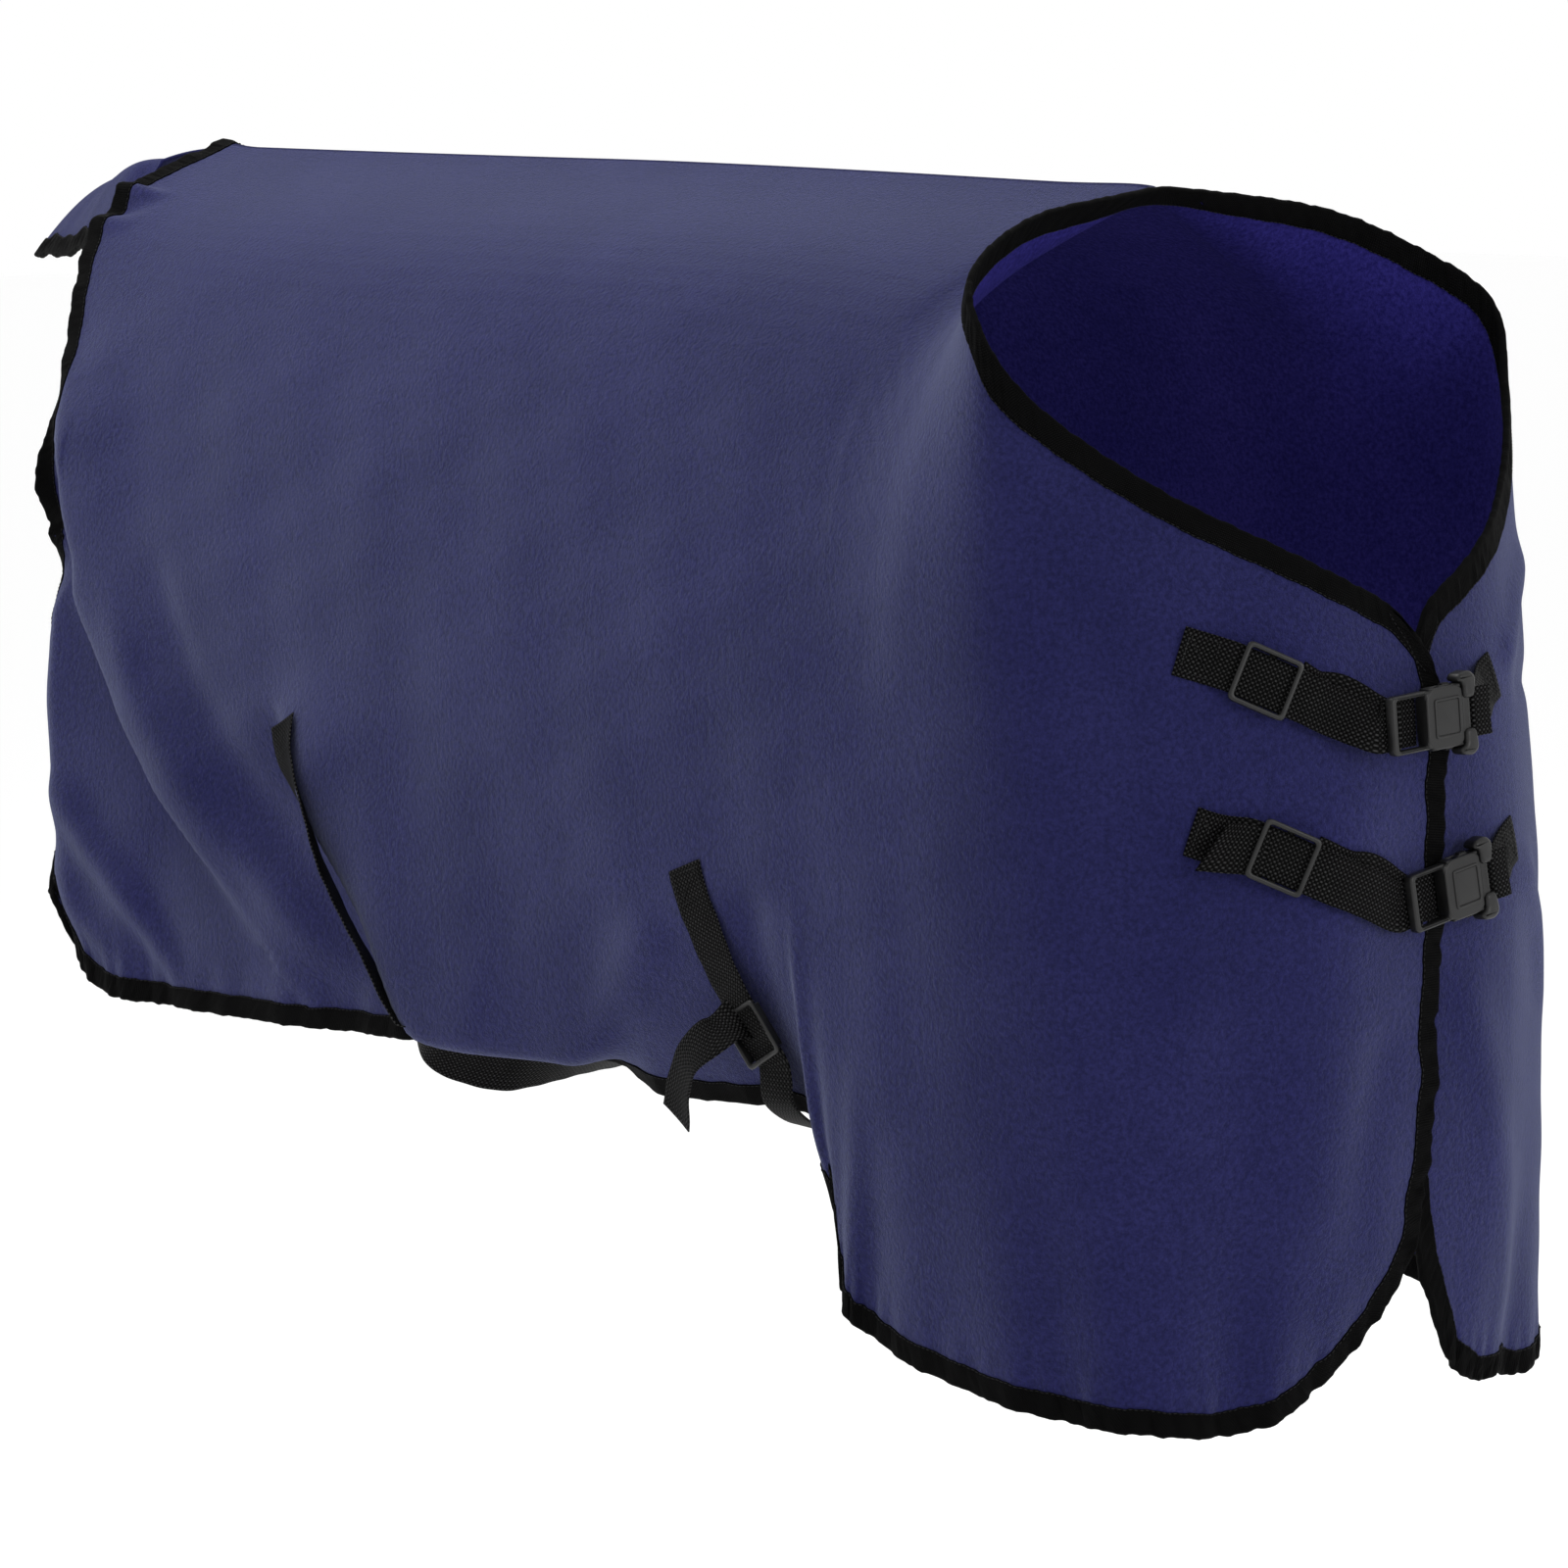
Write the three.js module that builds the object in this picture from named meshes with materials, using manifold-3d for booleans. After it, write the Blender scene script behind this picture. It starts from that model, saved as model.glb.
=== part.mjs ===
// Turnout rug for a horse: a fleece rug in its worn shape, with bound edges, a tail flap,
// two chest straps with side-release buckles and two belly surcingles.
// Millimetres. +X points to the horse's chest, +Z up, the horse's right side is -Y.
// The origin is on the back seam at the withers, where the rug rests on the horse.
import * as THREE from 'three';
import { mergeVertices } from 'three/addons/utils/BufferGeometryUtils.js';
import Module from 'manifold-3d';

const CLOTH = 4;              // fleece thickness
const BINDING = 22;           // width of the binding tape round every edge
const BINDING_THICK = 7;      // tape folded over the fleece
const GAP = 0.4;              // room between neighbouring pieces
const SEAM_ROOM = 2.2;        // room between the fleece and its binding
const WEBBING = 40;           // width of all the webbing
const WEBBING_THICK = 1.6;
const TUCK = 11;              // how far the left chest edge lies behind the right one
const CORNER_SAG = 75;        // how much lower the left front corner hangs
const COLUMNS = 30;           // facets from the chest round to the rear edge
const ROWS = 11;              // facets from the top edge down to the hem
const SURFACE_LIFT = 3.4;     // webbing's middle above the cloth's middle where it is sewn on

// The right half's shape. Each row runs from the top edge (neck edge, then back seam) down to
// the hem, as [x, half width, z]; the rows run from the chest opening round to the rear edge.
const STATIONS = [
  [
    [302, -12, -345], [316, -12, -450], [312, -12, -580],
    [310, -11, -700], [308, -6, -790], [306, 6, -855],
  ],
  [
    [272, 100, -289], [297, 95, -415], [308, 92, -570],
    [308, 90, -710], [303, 88, -850], [288, 82, -938],
  ],
  [
    [208, 202, -231], [242, 189, -385], [262, 180, -560],
    [268, 172, -720], [270, 165, -870], [266, 160, -976],
  ],
  [
    [143, 276, -163], [172, 258, -345], [200, 255, -550],
    [215, 246, -730], [222, 240, -880], [226, 236, -972],
  ],
  [
    [104, 302, -100], [108, 300, -295], [120, 295, -520],
    [135, 288, -720], [140, 284, -870], [140, 281, -962],
  ],
  [
    [60, 262, -58], [34, 298, -245], [20, 305, -480],
    [10, 302, -700], [0, 296, -850], [-10, 290, -934],
  ],
  [
    [30, 163, -20], [-20, 268, -188], [-40, 303, -430],
    [-50, 303, -650], [-60, 294, -800], [-64, 287, -900],
  ],
  [
    [0, 0, 0], [-75, 225, -128], [-90, 298, -370],
    [-98, 304, -590], [-98, 290, -740], [-84, 276, -835],
  ],
  [
    [-120, 0, 2], [-140, 215, -112], [-150, 298, -350],
    [-150, 306, -560], [-140, 290, -690], [-128, 252, -766],
  ],
  [
    [-350, 0, 7], [-350, 212, -98], [-350, 298, -330],
    [-350, 312, -530], [-350, 300, -675], [-355, 258, -766],
  ],
  [
    [-600, 0, 11], [-600, 212, -93], [-600, 296, -320],
    [-595, 311, -515], [-590, 306, -665], [-600, 276, -762],
  ],
  [
    [-800, 0, 12], [-800, 210, -92], [-800, 292, -315],
    [-790, 302, -480], [-780, 296, -640], [-790, 284, -764],
  ],
  [
    [-1000, 0, 13], [-1000, 200, -85], [-1000, 282, -290],
    [-990, 292, -470], [-985, 289, -630], [-985, 285, -768],
  ],
  [
    [-1150, 0, 14], [-1145, 190, -78], [-1130, 266, -250],
    [-1115, 280, -440], [-1105, 284, -615], [-1085, 287, -764],
  ],
  [
    [-1277, 0, 15], [-1250, 165, -48], [-1196, 252, -200],
    [-1200, 284, -400], [-1174, 288, -600], [-1140, 288, -726],
  ],
];
const LAST = STATIONS.length - 1;
const WITHERS = 7 / LAST;     // place of the withers along the top edge
const CORNER_U = 0.19;        // where the rear edge turns from the croup down the side

const fleece = new THREE.MeshStandardMaterial({ color: 0x34345f, roughness: 0.95, metalness: 0 });
const tape = new THREE.MeshStandardMaterial({ color: 0x121213, roughness: 0.8, metalness: 0 });
const webbing = new THREE.MeshStandardMaterial({ color: 0x141415, roughness: 0.75, metalness: 0 });
const plastic = new THREE.MeshStandardMaterial({ color: 0x2c2c2e, roughness: 0.42, metalness: 0 });

const wasm = await Module();
wasm.setup();

const rug = new THREE.Group();

function vec(x, y, z) {
  return new THREE.Vector3(x, y, z);
}

// A place { p, out } given by its coordinates and the direction that it faces.
function free(x, y, z, outX, outY, outZ) {
  return { p: vec(x, y, z), out: vec(outX, outY, outZ).normalize() };
}

function addMesh(name, geometry, material, parent = rug) {
  const mesh = new THREE.Mesh(geometry, material);
  mesh.name = name;
  parent.add(mesh);
  return mesh;
}

function steps(from, to, count) {
  return Array.from({ length: count + 1 }, (_, i) => from + (to - from) * i / count);
}

function smoothCurve(points, kind = 'catmullrom') {
  const curve = new THREE.CatmullRomCurve3(points, false, kind, 0.5);
  curve.arcLengthDivisions = 48;
  return curve;
}

// ---- the draped surface ----

const rails = STATIONS[0].map((_, level) => smoothCurve(
  STATIONS.map((row) => vec(row[level][0], -row[level][1], row[level][2]))));

// A point of the rug: s runs from the chest opening (0) to the rear edge (1) and u from the top
// edge (0) to the hem (1). side is -1 for the right half and +1 for the left half.
function surface(side, s, u) {
  const stops = rails.map((rail) => rail.getPoint(THREE.MathUtils.clamp(s, 0, 1)));
  if (s > WITHERS) stops[0].y = 0;
  const column = smoothCurve(stops);
  const point = column.getPointAt(THREE.MathUtils.clamp(u, 0, 1));
  if (side > 0) {
    point.y *= -1;
    point.x -= TUCK * Math.max(0, 1 - s * LAST / 1.3);
    const sag = CORNER_SAG * Math.max(0, 1 - s * LAST / 1.6) * Math.max(0, (u - 0.78) / 0.22) ** 1.5;
    point.z -= sag;
    point.y += 0.35 * sag;
  }
  return point;
}

// The place { p, out } at s and u: the point and the direction that the cloth faces there.
function place(side, s, u) {
  const p = surface(side, s, u);
  const out = outward(side, s, u);
  if (Math.abs(p.y) < GAP && s > WITHERS - 0.01) out.setY(0).normalize();
  return { p, out };
}

function outward(side, s, u) {
  const d = 0.004;
  const alongS = surface(side, Math.min(s + d, 1), u).sub(surface(side, Math.max(s - d, 0), u));
  const alongU = surface(side, s, Math.min(u + d, 1)).sub(surface(side, s, Math.max(u - d, 0)));
  return alongU.cross(alongS).multiplyScalar(side).normalize();
}

// The share of the column at s that a strip of the given width takes along the top or hem edge.
function edgeShare(s, edge, width) {
  const d = 0.004;
  const step = edge < 0.5 ? 0.01 : -0.01;
  const along = surface(-1, s + d, edge).sub(surface(-1, s - d, edge)).normalize();
  const down = surface(-1, s, edge + step).sub(surface(-1, s, edge));
  const perShare = down.length() / 0.01;
  const lean = Math.max(0.42, down.normalize().cross(along).length());
  return width / lean / perShare;
}

// The step in s that a strip of the given width takes at the chest edge (0) or rear edge (1).
function sideShare(edge, u, width) {
  const d = edge < 0.5 ? 0.01 : -0.01;
  return width / surface(-1, edge + d, u).distanceTo(surface(-1, edge, u)) * 0.01;
}

// ---- closed solids from grids of points ----

function facesOut(geometry) {
  const p = geometry.attributes.position;
  const index = geometry.index;
  let volume = 0;
  const [a, b, c] = [vec(), vec(), vec()];
  for (let i = 0; i < index.count; i += 3) {
    a.fromBufferAttribute(p, index.getX(i));
    b.fromBufferAttribute(p, index.getX(i + 1));
    c.fromBufferAttribute(p, index.getX(i + 2));
    volume += a.dot(b.cross(c));
  }
  return volume > 0;
}

// Gives a grid of plain points the direction that the sheet faces at each of them.
function faced(grid) {
  const [lastRow, lastCol] = [grid.length - 1, grid[0].length - 1];
  return grid.map((row, i) => row.map((p, j) => {
    const down = grid[Math.min(i + 1, lastRow)][j].clone().sub(grid[Math.max(i - 1, 0)][j]);
    const over = row[Math.min(j + 1, lastCol)].clone().sub(row[Math.max(j - 1, 0)]);
    return { p, out: down.cross(over).normalize() };
  }));
}

// A sheet of even thickness about a grid of middle places { p, out }, closed round its rim.
function sheetSolid(grid, thickness) {
  const rows = grid.length;
  const cols = grid[0].length;
  const positions = [];
  for (const side of [0.5, -0.5]) {
    for (const { p, out } of grid.flat()) {
      positions.push(...p.clone().addScaledVector(out, side * thickness));
    }
  }
  const under = rows * cols;
  const at = (i, j) => i * cols + j;
  const faces = [];
  for (let i = 0; i < rows - 1; i++) {
    for (let j = 0; j < cols - 1; j++) {
      const [a, b, c, d] = [at(i, j), at(i + 1, j), at(i + 1, j + 1), at(i, j + 1)];
      faces.push(a, b, c, a, c, d);
      faces.push(under + a, under + c, under + b, under + a, under + d, under + c);
    }
  }
  const rim = [];
  for (let j = 0; j < cols - 1; j++) rim.push([at(0, j), at(0, j + 1)]);
  for (let i = 0; i < rows - 1; i++) rim.push([at(i, cols - 1), at(i + 1, cols - 1)]);
  for (let j = cols - 1; j > 0; j--) rim.push([at(rows - 1, j), at(rows - 1, j - 1)]);
  for (let i = rows - 1; i > 0; i--) rim.push([at(i, 0), at(i - 1, 0)]);
  for (const [a, b] of rim) {
    faces.push(a, b, under + b, a, under + b, under + a);
  }
  const geometry = new THREE.BufferGeometry();
  geometry.setAttribute('position', new THREE.Float32BufferAttribute(positions, 3));
  geometry.setIndex(faces);
  if (!facesOut(geometry)) {
    for (let i = 0; i < faces.length; i += 3) [faces[i], faces[i + 1]] = [faces[i + 1], faces[i]];
    geometry.setIndex(faces);
  }
  geometry.computeVertexNormals();
  return geometry;
}

// ---- side panels and bindings ----

const panelS0 = sideShare(0, 0, BINDING + SEAM_ROOM);
const panelS1 = 1 - sideShare(1, 0, BINDING + SEAM_ROOM);
const seamStart = steps(WITHERS, WITHERS + 0.05, 100)
  .find((s) => surface(-1, s, 0).x < -BINDING - SEAM_ROOM);
const neckS = steps(panelS0, WITHERS - 0.008, 14);
const seamS = steps(seamStart, panelS1, COLUMNS - 15);
const edgeS = [...neckS, ...seamS];

function topShare(s, extra) {
  return s < WITHERS ? edgeShare(s, 0, BINDING + extra) : 0;
}

function hemShare(s, extra) {
  return 1 - edgeShare(Math.min(Math.max(s, 0.004), 0.996), 1, BINDING + extra);
}

// The panel's columns at a share of its height, squeezed between the two side bindings.
function panelColumns(share) {
  const height = (s) => THREE.MathUtils.lerp(topShare(s, SEAM_ROOM), hemShare(s, SEAM_ROOM), share);
  const front = sideShare(0, height(panelS0), BINDING + SEAM_ROOM);
  const rear = 1 - sideShare(1, height(panelS1), BINDING + SEAM_ROOM);
  return edgeS.map((s) => front + (rear - front) * (s - panelS0) / (panelS1 - panelS0));
}

function onSeam(spot, side) {
  if (Math.abs(spot.p.y) < GAP / 2) spot.p.y = side * GAP / 2;
  return spot;
}

function panelGrid(side) {
  const grid = [];
  for (const share of steps(0, 1, ROWS)) {
    grid.push(panelColumns(share).map((s) => {
      const u = THREE.MathUtils.lerp(topShare(s, SEAM_ROOM), hemShare(s, SEAM_ROOM), share);
      return onSeam(place(side, s, u), side);
    }));
  }
  return grid;
}

function hemGrid(side) {
  const columns = panelColumns(1);
  columns[0] += 0.0015;
  columns[columns.length - 1] -= 0.0015;
  return [
    columns.map((s) => place(side, s, hemShare(s, 0))),
    columns.map((s) => place(side, s, 1)),
  ];
}

// Heights of a side binding's facets: the panel's own rows beside it, and both ends.
function edgeRows(edge) {
  const near = edge < 0.5 ? panelS0 : panelS1;
  return [0, ...steps(topShare(near, SEAM_ROOM), hemShare(near, SEAM_ROOM), ROWS), 1];
}

function frontGrid(side) {
  const rows = edgeRows(0);
  return [0, 1].map((across) => rows.map((u) => place(side, across * sideShare(0, u, BINDING), u)));
}

function rearRows() {
  return [CORNER_U + 0.001, ...edgeRows(1).filter((u) => u > CORNER_U + 0.01)];
}

function rearGrid(side) {
  const rows = rearRows();
  return [0, 1].map((across) => rows.map((u) => place(side, 1 - across * sideShare(1, u, BINDING), u)));
}

function neckGrid() {
  const sRow = [neckS[0] + 0.0025, ...neckS.slice(1)];
  const half = (side, share) => sRow.map((s) => place(side, s, share ? topShare(s, 0) : 0));
  const edge = [...half(-1, false), free(0, 0, 0, 0, 0, 1), ...half(1, false).reverse()];
  const inner = [...half(-1, true), free(-BINDING, 0, 1, 0, 0, 1), ...half(1, true).reverse()];
  return [edge, inner];
}

function croupGrid() {
  const shares = [CORNER_U, ...edgeRows(1).filter((u) => u > 0.02 && u < CORNER_U - 0.01).reverse()];
  const line = (side, across) => shares.map((u) => place(side, 1 - across * sideShare(1, u, BINDING), u));
  const middle = (across) => place(-1, 1 - across * sideShare(1, 0, BINDING), 0);
  return [0, 1].map((across) => [...line(-1, across), middle(across), ...line(1, across).reverse()]);
}

for (const [side, hand] of [[-1, 'right'], [1, 'left']]) {
  addMesh(`${hand}_side_panel`, sheetSolid(panelGrid(side), CLOTH), fleece);
  addMesh(`${hand}_front_binding`, sheetSolid(frontGrid(side), BINDING_THICK), tape);
  addMesh(`${hand}_hem_binding`, sheetSolid(hemGrid(side), BINDING_THICK), tape);
  addMesh(`${hand}_rear_binding`, sheetSolid(rearGrid(side), BINDING_THICK), tape);
}
addMesh('neck_binding', sheetSolid(neckGrid(), BINDING_THICK), tape);
addMesh('croup_binding', sheetSolid(croupGrid(), BINDING_THICK), tape);

// ---- tail flap ----

const FLAP_HINGE = vec(-1285, 0, 7);
const FLAP_ROOT_HALF = 70;
const FLAP_BULGE = 42;       // how high the flap arches
const FLAP_SKEW = 1.6;       // moves the arch's top towards the free edge
const FLAP_FREE_EDGE = [[-1340, -112, -150], [-1400, -72, -88], [-1520, -20, -94], [-1636, 30, -99]];

function flapGrid(from, to, count) {
  const freeEdge = smoothCurve(FLAP_FREE_EDGE.map((p) => vec(...p)));
  return steps(from, to, count).map((b) => steps(0, 1, 8).map((a) => {
    const y = FLAP_ROOT_HALF * (2 * a - 1);
    const root = vec(FLAP_HINGE.x - 2, y, 13 - y * y * 0.002);
    const point = root.lerp(freeEdge.getPoint(a), b);
    point.z += FLAP_BULGE * Math.sin(Math.PI * b ** FLAP_SKEW);
    return point;
  }));
}

addMesh('tail_flap', sheetSolid(faced(flapGrid(0, 0.92, 7)), CLOTH), fleece);
addMesh('tail_flap_binding', sheetSolid(faced(flapGrid(0.923, 1, 1)), BINDING_THICK), tape);

// ---- webbing ----

// Finds where the surface passes the given two coordinates, e.g. {x: -240, z: -560}.
function locate(side, wanted, sRange) {
  const keys = Object.keys(wanted);
  let best = { s: 0, u: 0, miss: Infinity };
  let [sStep, uStep] = [(sRange[1] - sRange[0]) / 12, 1 / 14];
  let candidates = steps(...sRange, 12).flatMap((s) => steps(0, 1, 14).map((u) => ({ s, u })));
  for (let round = 0; round < 9; round++) {
    for (const { s, u } of candidates) {
      const point = surface(side, s, u);
      const miss = Math.hypot(...keys.map((key) => point[key] - wanted[key]));
      if (miss < best.miss) best = { s, u, miss };
    }
    sStep /= 2;
    uStep /= 2;
    candidates = [-1, 0, 1].flatMap((i) => [-1, 0, 1].map((j) => ({
      s: THREE.MathUtils.clamp(best.s + i * sStep, ...sRange),
      u: THREE.MathUtils.clamp(best.u + j * uStep, 0, 1),
    })));
  }
  return best;
}

// A guide point of a strap: a place on the cloth, lifted off it, with the way the strap faces.
function onCloth(side, wanted, sRange, lift) {
  const { s, u } = locate(side, wanted, sRange);
  const out = outward(side, s, u);
  return { p: surface(side, s, u).addScaledVector(out, lift), out };
}

function onChest(y, z, lift) {
  return y < 8 ? onCloth(-1, { y, z }, [0, 3.2 / LAST], lift) : onCloth(1, { y, z }, [0, 3.2 / LAST], lift);
}

function onSide(side, x, z, lift) {
  return onCloth(side, { x, z }, [WITHERS, 1], lift);
}

// A flat strap through guide places, with a few facets between each two of them.
function strap(guides, facets) {
  const path = smoothCurve(guides.map((g) => g.p), 'centripetal');
  const grid = [[], []];
  for (const t of steps(0, 1, facets * (guides.length - 1))) {
    const k = Math.min(Math.floor(t * (guides.length - 1)), guides.length - 2);
    const facing = guides[k].out.clone().lerp(guides[k + 1].out, t * (guides.length - 1) - k);
    const tangent = path.getTangent(t);
    const out = facing.addScaledVector(tangent, -facing.dot(tangent)).normalize();
    const across = tangent.cross(out).multiplyScalar(WEBBING / 2);
    grid[0].push({ p: path.getPoint(t).sub(across), out });
    grid[1].push({ p: path.getPoint(t).add(across), out });
  }
  return sheetSolid(grid, WEBBING_THICK);
}

// ---- side-release buckle, in its own frame: x along the strap, y across it, z facing out ----

const BUCKLE_HALF = 25;       // half the shell's width
const SHELL_FROM = -12;       // the shell's closed end
const SHELL_TO = 24;          // the shell's open mouth
const FRAME_TO = -16;         // where the open webbing frame meets the shell
const FEMALE_END = -58;
const MALE_END = 46;
const FEMALE_BAR = -52;       // the inner faces of the two bars that the webbing turns round
const MALE_BAR = 41.5;
const PRONG_ROOT = 23.5;

function manifoldOf(geometry) {
  const plain = geometry.index ? geometry.toNonIndexed() : geometry.clone();
  for (const name of Object.keys(plain.attributes)) {
    if (name !== 'position') plain.deleteAttribute(name);
  }
  const merged = mergeVertices(plain, 1e-4);
  return new wasm.Manifold(new wasm.Mesh({
    numProp: 3,
    vertProperties: merged.attributes.position.array,
    triVerts: new Uint32Array(merged.index.array),
  }));
}

function geometryOf(solid) {
  const mesh = solid.getMesh();
  const geometry = new THREE.BufferGeometry();
  geometry.setAttribute('position', new THREE.Float32BufferAttribute(mesh.vertProperties, 3));
  geometry.setIndex(Array.from(mesh.triVerts));
  geometry.computeVertexNormals();
  return geometry;
}

function block(x0, x1, y0, y1, z0, z1) {
  const geometry = new THREE.BoxGeometry(x1 - x0, y1 - y0, z1 - z0);
  return manifoldOf(geometry.translate((x0 + x1) / 2, (y0 + y1) / 2, (z0 + z1) / 2));
}

// A flat plate from an outline in x and y, with rounded rims.
function plate(outline, z0, z1, bevel = 0) {
  const shape = new THREE.Shape(outline.map(([x, y]) => new THREE.Vector2(x, y)));
  const geometry = new THREE.ExtrudeGeometry(shape, {
    depth: z1 - z0 - 2 * bevel,
    bevelEnabled: bevel > 0,
    bevelThickness: bevel,
    bevelSize: bevel,
    bevelOffset: -bevel,
    bevelSegments: 1,
  });
  return manifoldOf(geometry.translate(0, 0, z0 + bevel));
}

function femaleHalf() {
  const outline = [
    [FEMALE_END, -23], [FEMALE_END, 23], [FRAME_TO, 23], [SHELL_FROM, BUCKLE_HALF], [SHELL_TO, BUCKLE_HALF],
    [SHELL_TO, -BUCKLE_HALF], [SHELL_FROM, -BUCKLE_HALF], [FRAME_TO, -23],
  ];
  return plate(outline, -6, 6, 1.6)
    .subtract(block(FEMALE_END - 1, FRAME_TO, -30, 30, 3.6, 7))
    .subtract(block(FEMALE_END - 1, FRAME_TO, -30, 30, -7, -3.6))
    .subtract(block(FEMALE_BAR, FRAME_TO - 3, -20.6, 20.6, -7, 7))
    .subtract(block(SHELL_FROM + 3, SHELL_TO + 1, -20.5, 20.5, -3.6, 3.6))
    .subtract(block(-5, 15, -26, 26, -3.6, 3.6))
    .subtract(block(-5, 15, 21.5, 26, -7, 7))
    .subtract(block(-5, 15, -26, -21.5, -7, 7))
    .add(plate([[-8, -13], [-8, 13], [19, 13], [19, -13]], 5, 7, 0.8));
}

function maleHalf() {
  const outline = [
    [-7, -4.5], [-7, 4.5], [24.5, 6], [24.5, 21], [28, 23], [MALE_END, 23],
    [MALE_END, -23], [28, -23], [24.5, -21], [24.5, -6],
  ];
  return plate(outline, -3, 3, 0.6)
    .add(plate([[25.5, -22], [25.5, 22], [33, 22], [33, -22]], -5, 5, 1))
    .subtract(block(34, MALE_BAR, -20.6, 20.6, -7, 7));
}

function prong(side) {
  const outline = [
    [PRONG_ROOT, 13], [PRONG_ROOT, 18.5], [16, 18.5], [13.5, 23.5],
    [5, 23.5], [-3, 18], [-3, 14.5], [11, 14.5],
  ];
  const turned = outline.map(([x, y]) => [x, y * side]);
  return plate(side > 0 ? turned : turned.reverse(), -2.6, 2.6, 0.5);
}

const SLIDE_HALF = 25;        // half the slide's length along the strap

// A tri-glide slide: its side bars lie over the webbing and its middle bar under it.
function slide() {
  const half = WEBBING / 2;
  const rim = SLIDE_HALF - 4.5;
  const room = half + 0.8;
  const outline = [
    [-SLIDE_HALF, -half - 5], [-SLIDE_HALF, half + 5], [SLIDE_HALF, half + 5], [SLIDE_HALF, -half - 5],
  ];
  return plate(outline, -3.8, 3.6, 1)
    .subtract(block(-rim, rim, -room, room, 1.4, 9))
    .subtract(block(-SLIDE_HALF - 1, SLIDE_HALF + 1, -room, room, -1.4, 1.4))
    .subtract(block(-SLIDE_HALF - 1, -3.5, -room, room, -9, -1.3))
    .subtract(block(3.5, SLIDE_HALF + 1, -room, room, -9, -1.3));
}

const femaleGeometry = geometryOf(femaleHalf());
const maleGeometry = geometryOf(maleHalf());
const slideGeometry = geometryOf(slide());
const prongGeometry = { upper: geometryOf(prong(1)), lower: geometryOf(prong(-1)) };

// A group whose x runs along the strap and whose z faces out at the given guide point.
function frameAt(guide, toward) {
  const z = guide.out.clone().normalize();
  const x = toward.clone().sub(guide.p);
  x.addScaledVector(z, -x.dot(z)).normalize();
  const y = z.clone().cross(x);
  const group = new THREE.Group();
  group.matrix.makeBasis(x, y, z).setPosition(guide.p);
  group.matrix.decompose(group.position, group.quaternion, group.scale);
  rug.add(group);
  return group;
}

function buckle(name, guide, toward) {
  const group = frameAt(guide, toward);
  addMesh(`${name}_female_buckle`, femaleGeometry, plastic, group);
  addMesh(`${name}_male_buckle`, maleGeometry, plastic, group);
  addMesh(`${name}_prong_a`, prongGeometry.upper, plastic, group);
  addMesh(`${name}_prong_b`, prongGeometry.lower, plastic, group);
  return group;
}

// A guide point given in a buckle's or slide's own frame.
function inFrame(group, x, y, z) {
  group.updateMatrixWorld(true);
  return { p: group.localToWorld(vec(x, y, z)), out: vec(0, 0, 1).applyQuaternion(group.quaternion) };
}

const LAYER = 5.8;            // how far each layer of a turned strap lies from a bar's middle
const TURN = 3.6;             // how far the turn itself lies from the bar's middle

// A strap's turn round a bar of a buckle: under the bar, round it and back above it. reach is the
// bar's inner face and turn is +1 where the strap comes from the buckle's +x end.
function roundBar(group, reach, turn) {
  const spot = (x, z, faceX, faceZ) => ({
    p: inFrame(group, x, 0, z).p,
    out: vec(faceX, 0, faceZ).normalize().applyQuaternion(group.quaternion),
  });
  return [
    spot(reach + 14 * turn, -LAYER, 0, 1),
    spot(reach + 5 * turn, -LAYER, 0, 1),
    spot(reach - TURN / 2 * turn, -TURN, 0.8 * turn, 1),
    spot(reach - TURN * turn, 0, turn, 0),
    spot(reach - TURN / 2 * turn, TURN, 0.8 * turn, -1),
    spot(reach + 5 * turn, LAYER, 0, -1),
    spot(reach + 14 * turn, LAYER, 0, -1),
  ];
}

// ---- chest straps ----

// Each strap's sewn end, the y and z of its slide, its buckle's middle and how much the buckle
// rises towards its left end, and the left half's tab.
const CHEST_STRAPS = [
  {
    name: 'upper_chest', sewnZ: -353, slide: [-148, -378],
    buckle: [329, -10, -412], rise: 3, tab: [98, -388],
  },
  {
    name: 'lower_chest', sewnZ: -494, slide: [-143, -516],
    buckle: [325, 20, -551], rise: 8, tab: [116, -522],
  },
];
const SEWN_END_Y = -202;      // where the chest straps are sewn to the right half
const SLIDE_LIFT = 9.5;       // a slide's middle above the cloth

for (const c of CHEST_STRAPS) {
  const middle = free(...c.buckle, 1, 0.03, 0.05);
  const group = buckle(c.name, middle, middle.p.clone().add(vec(0, 50, c.rise)));
  const slideGroup = frameAt(onChest(...c.slide, SLIDE_LIFT), inFrame(group, FEMALE_END - 10, 0, -6).p);
  addMesh(`${c.name}_slide`, slideGeometry, plastic, slideGroup);
  addMesh(`${c.name}_strap`, strap([
    onChest(SEWN_END_Y, c.sewnZ, SURFACE_LIFT),
    onChest(SEWN_END_Y + 17, c.sewnZ - 7, SURFACE_LIFT + 1),
    ...[-38, -22, -8, 8, 22, 38].map((x) => inFrame(slideGroup, x, 0, 0)),
    ...roundBar(group, FEMALE_BAR, -1),
    inFrame(slideGroup, 42, 0, 5),
  ].map((g, i, all) => (i < all.length - 1 ? g : { p: g.p, out: g.out.negate() })), 3), webbing);
  addMesh(`${c.name}_tab`, strap([
    onChest(c.tab[0], c.tab[1], SURFACE_LIFT),
    onChest(c.tab[0] - 16, c.tab[1] - 6, SURFACE_LIFT + 3),
    ...roundBar(group, MALE_BAR, 1),
  ], 3), webbing);
}

// ---- belly surcingles, from the right flank under the belly to a buckle on the left flank ----

const FLANK_LIFT = 12.5;      // a buckle's middle above the cloth on the flank

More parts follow.
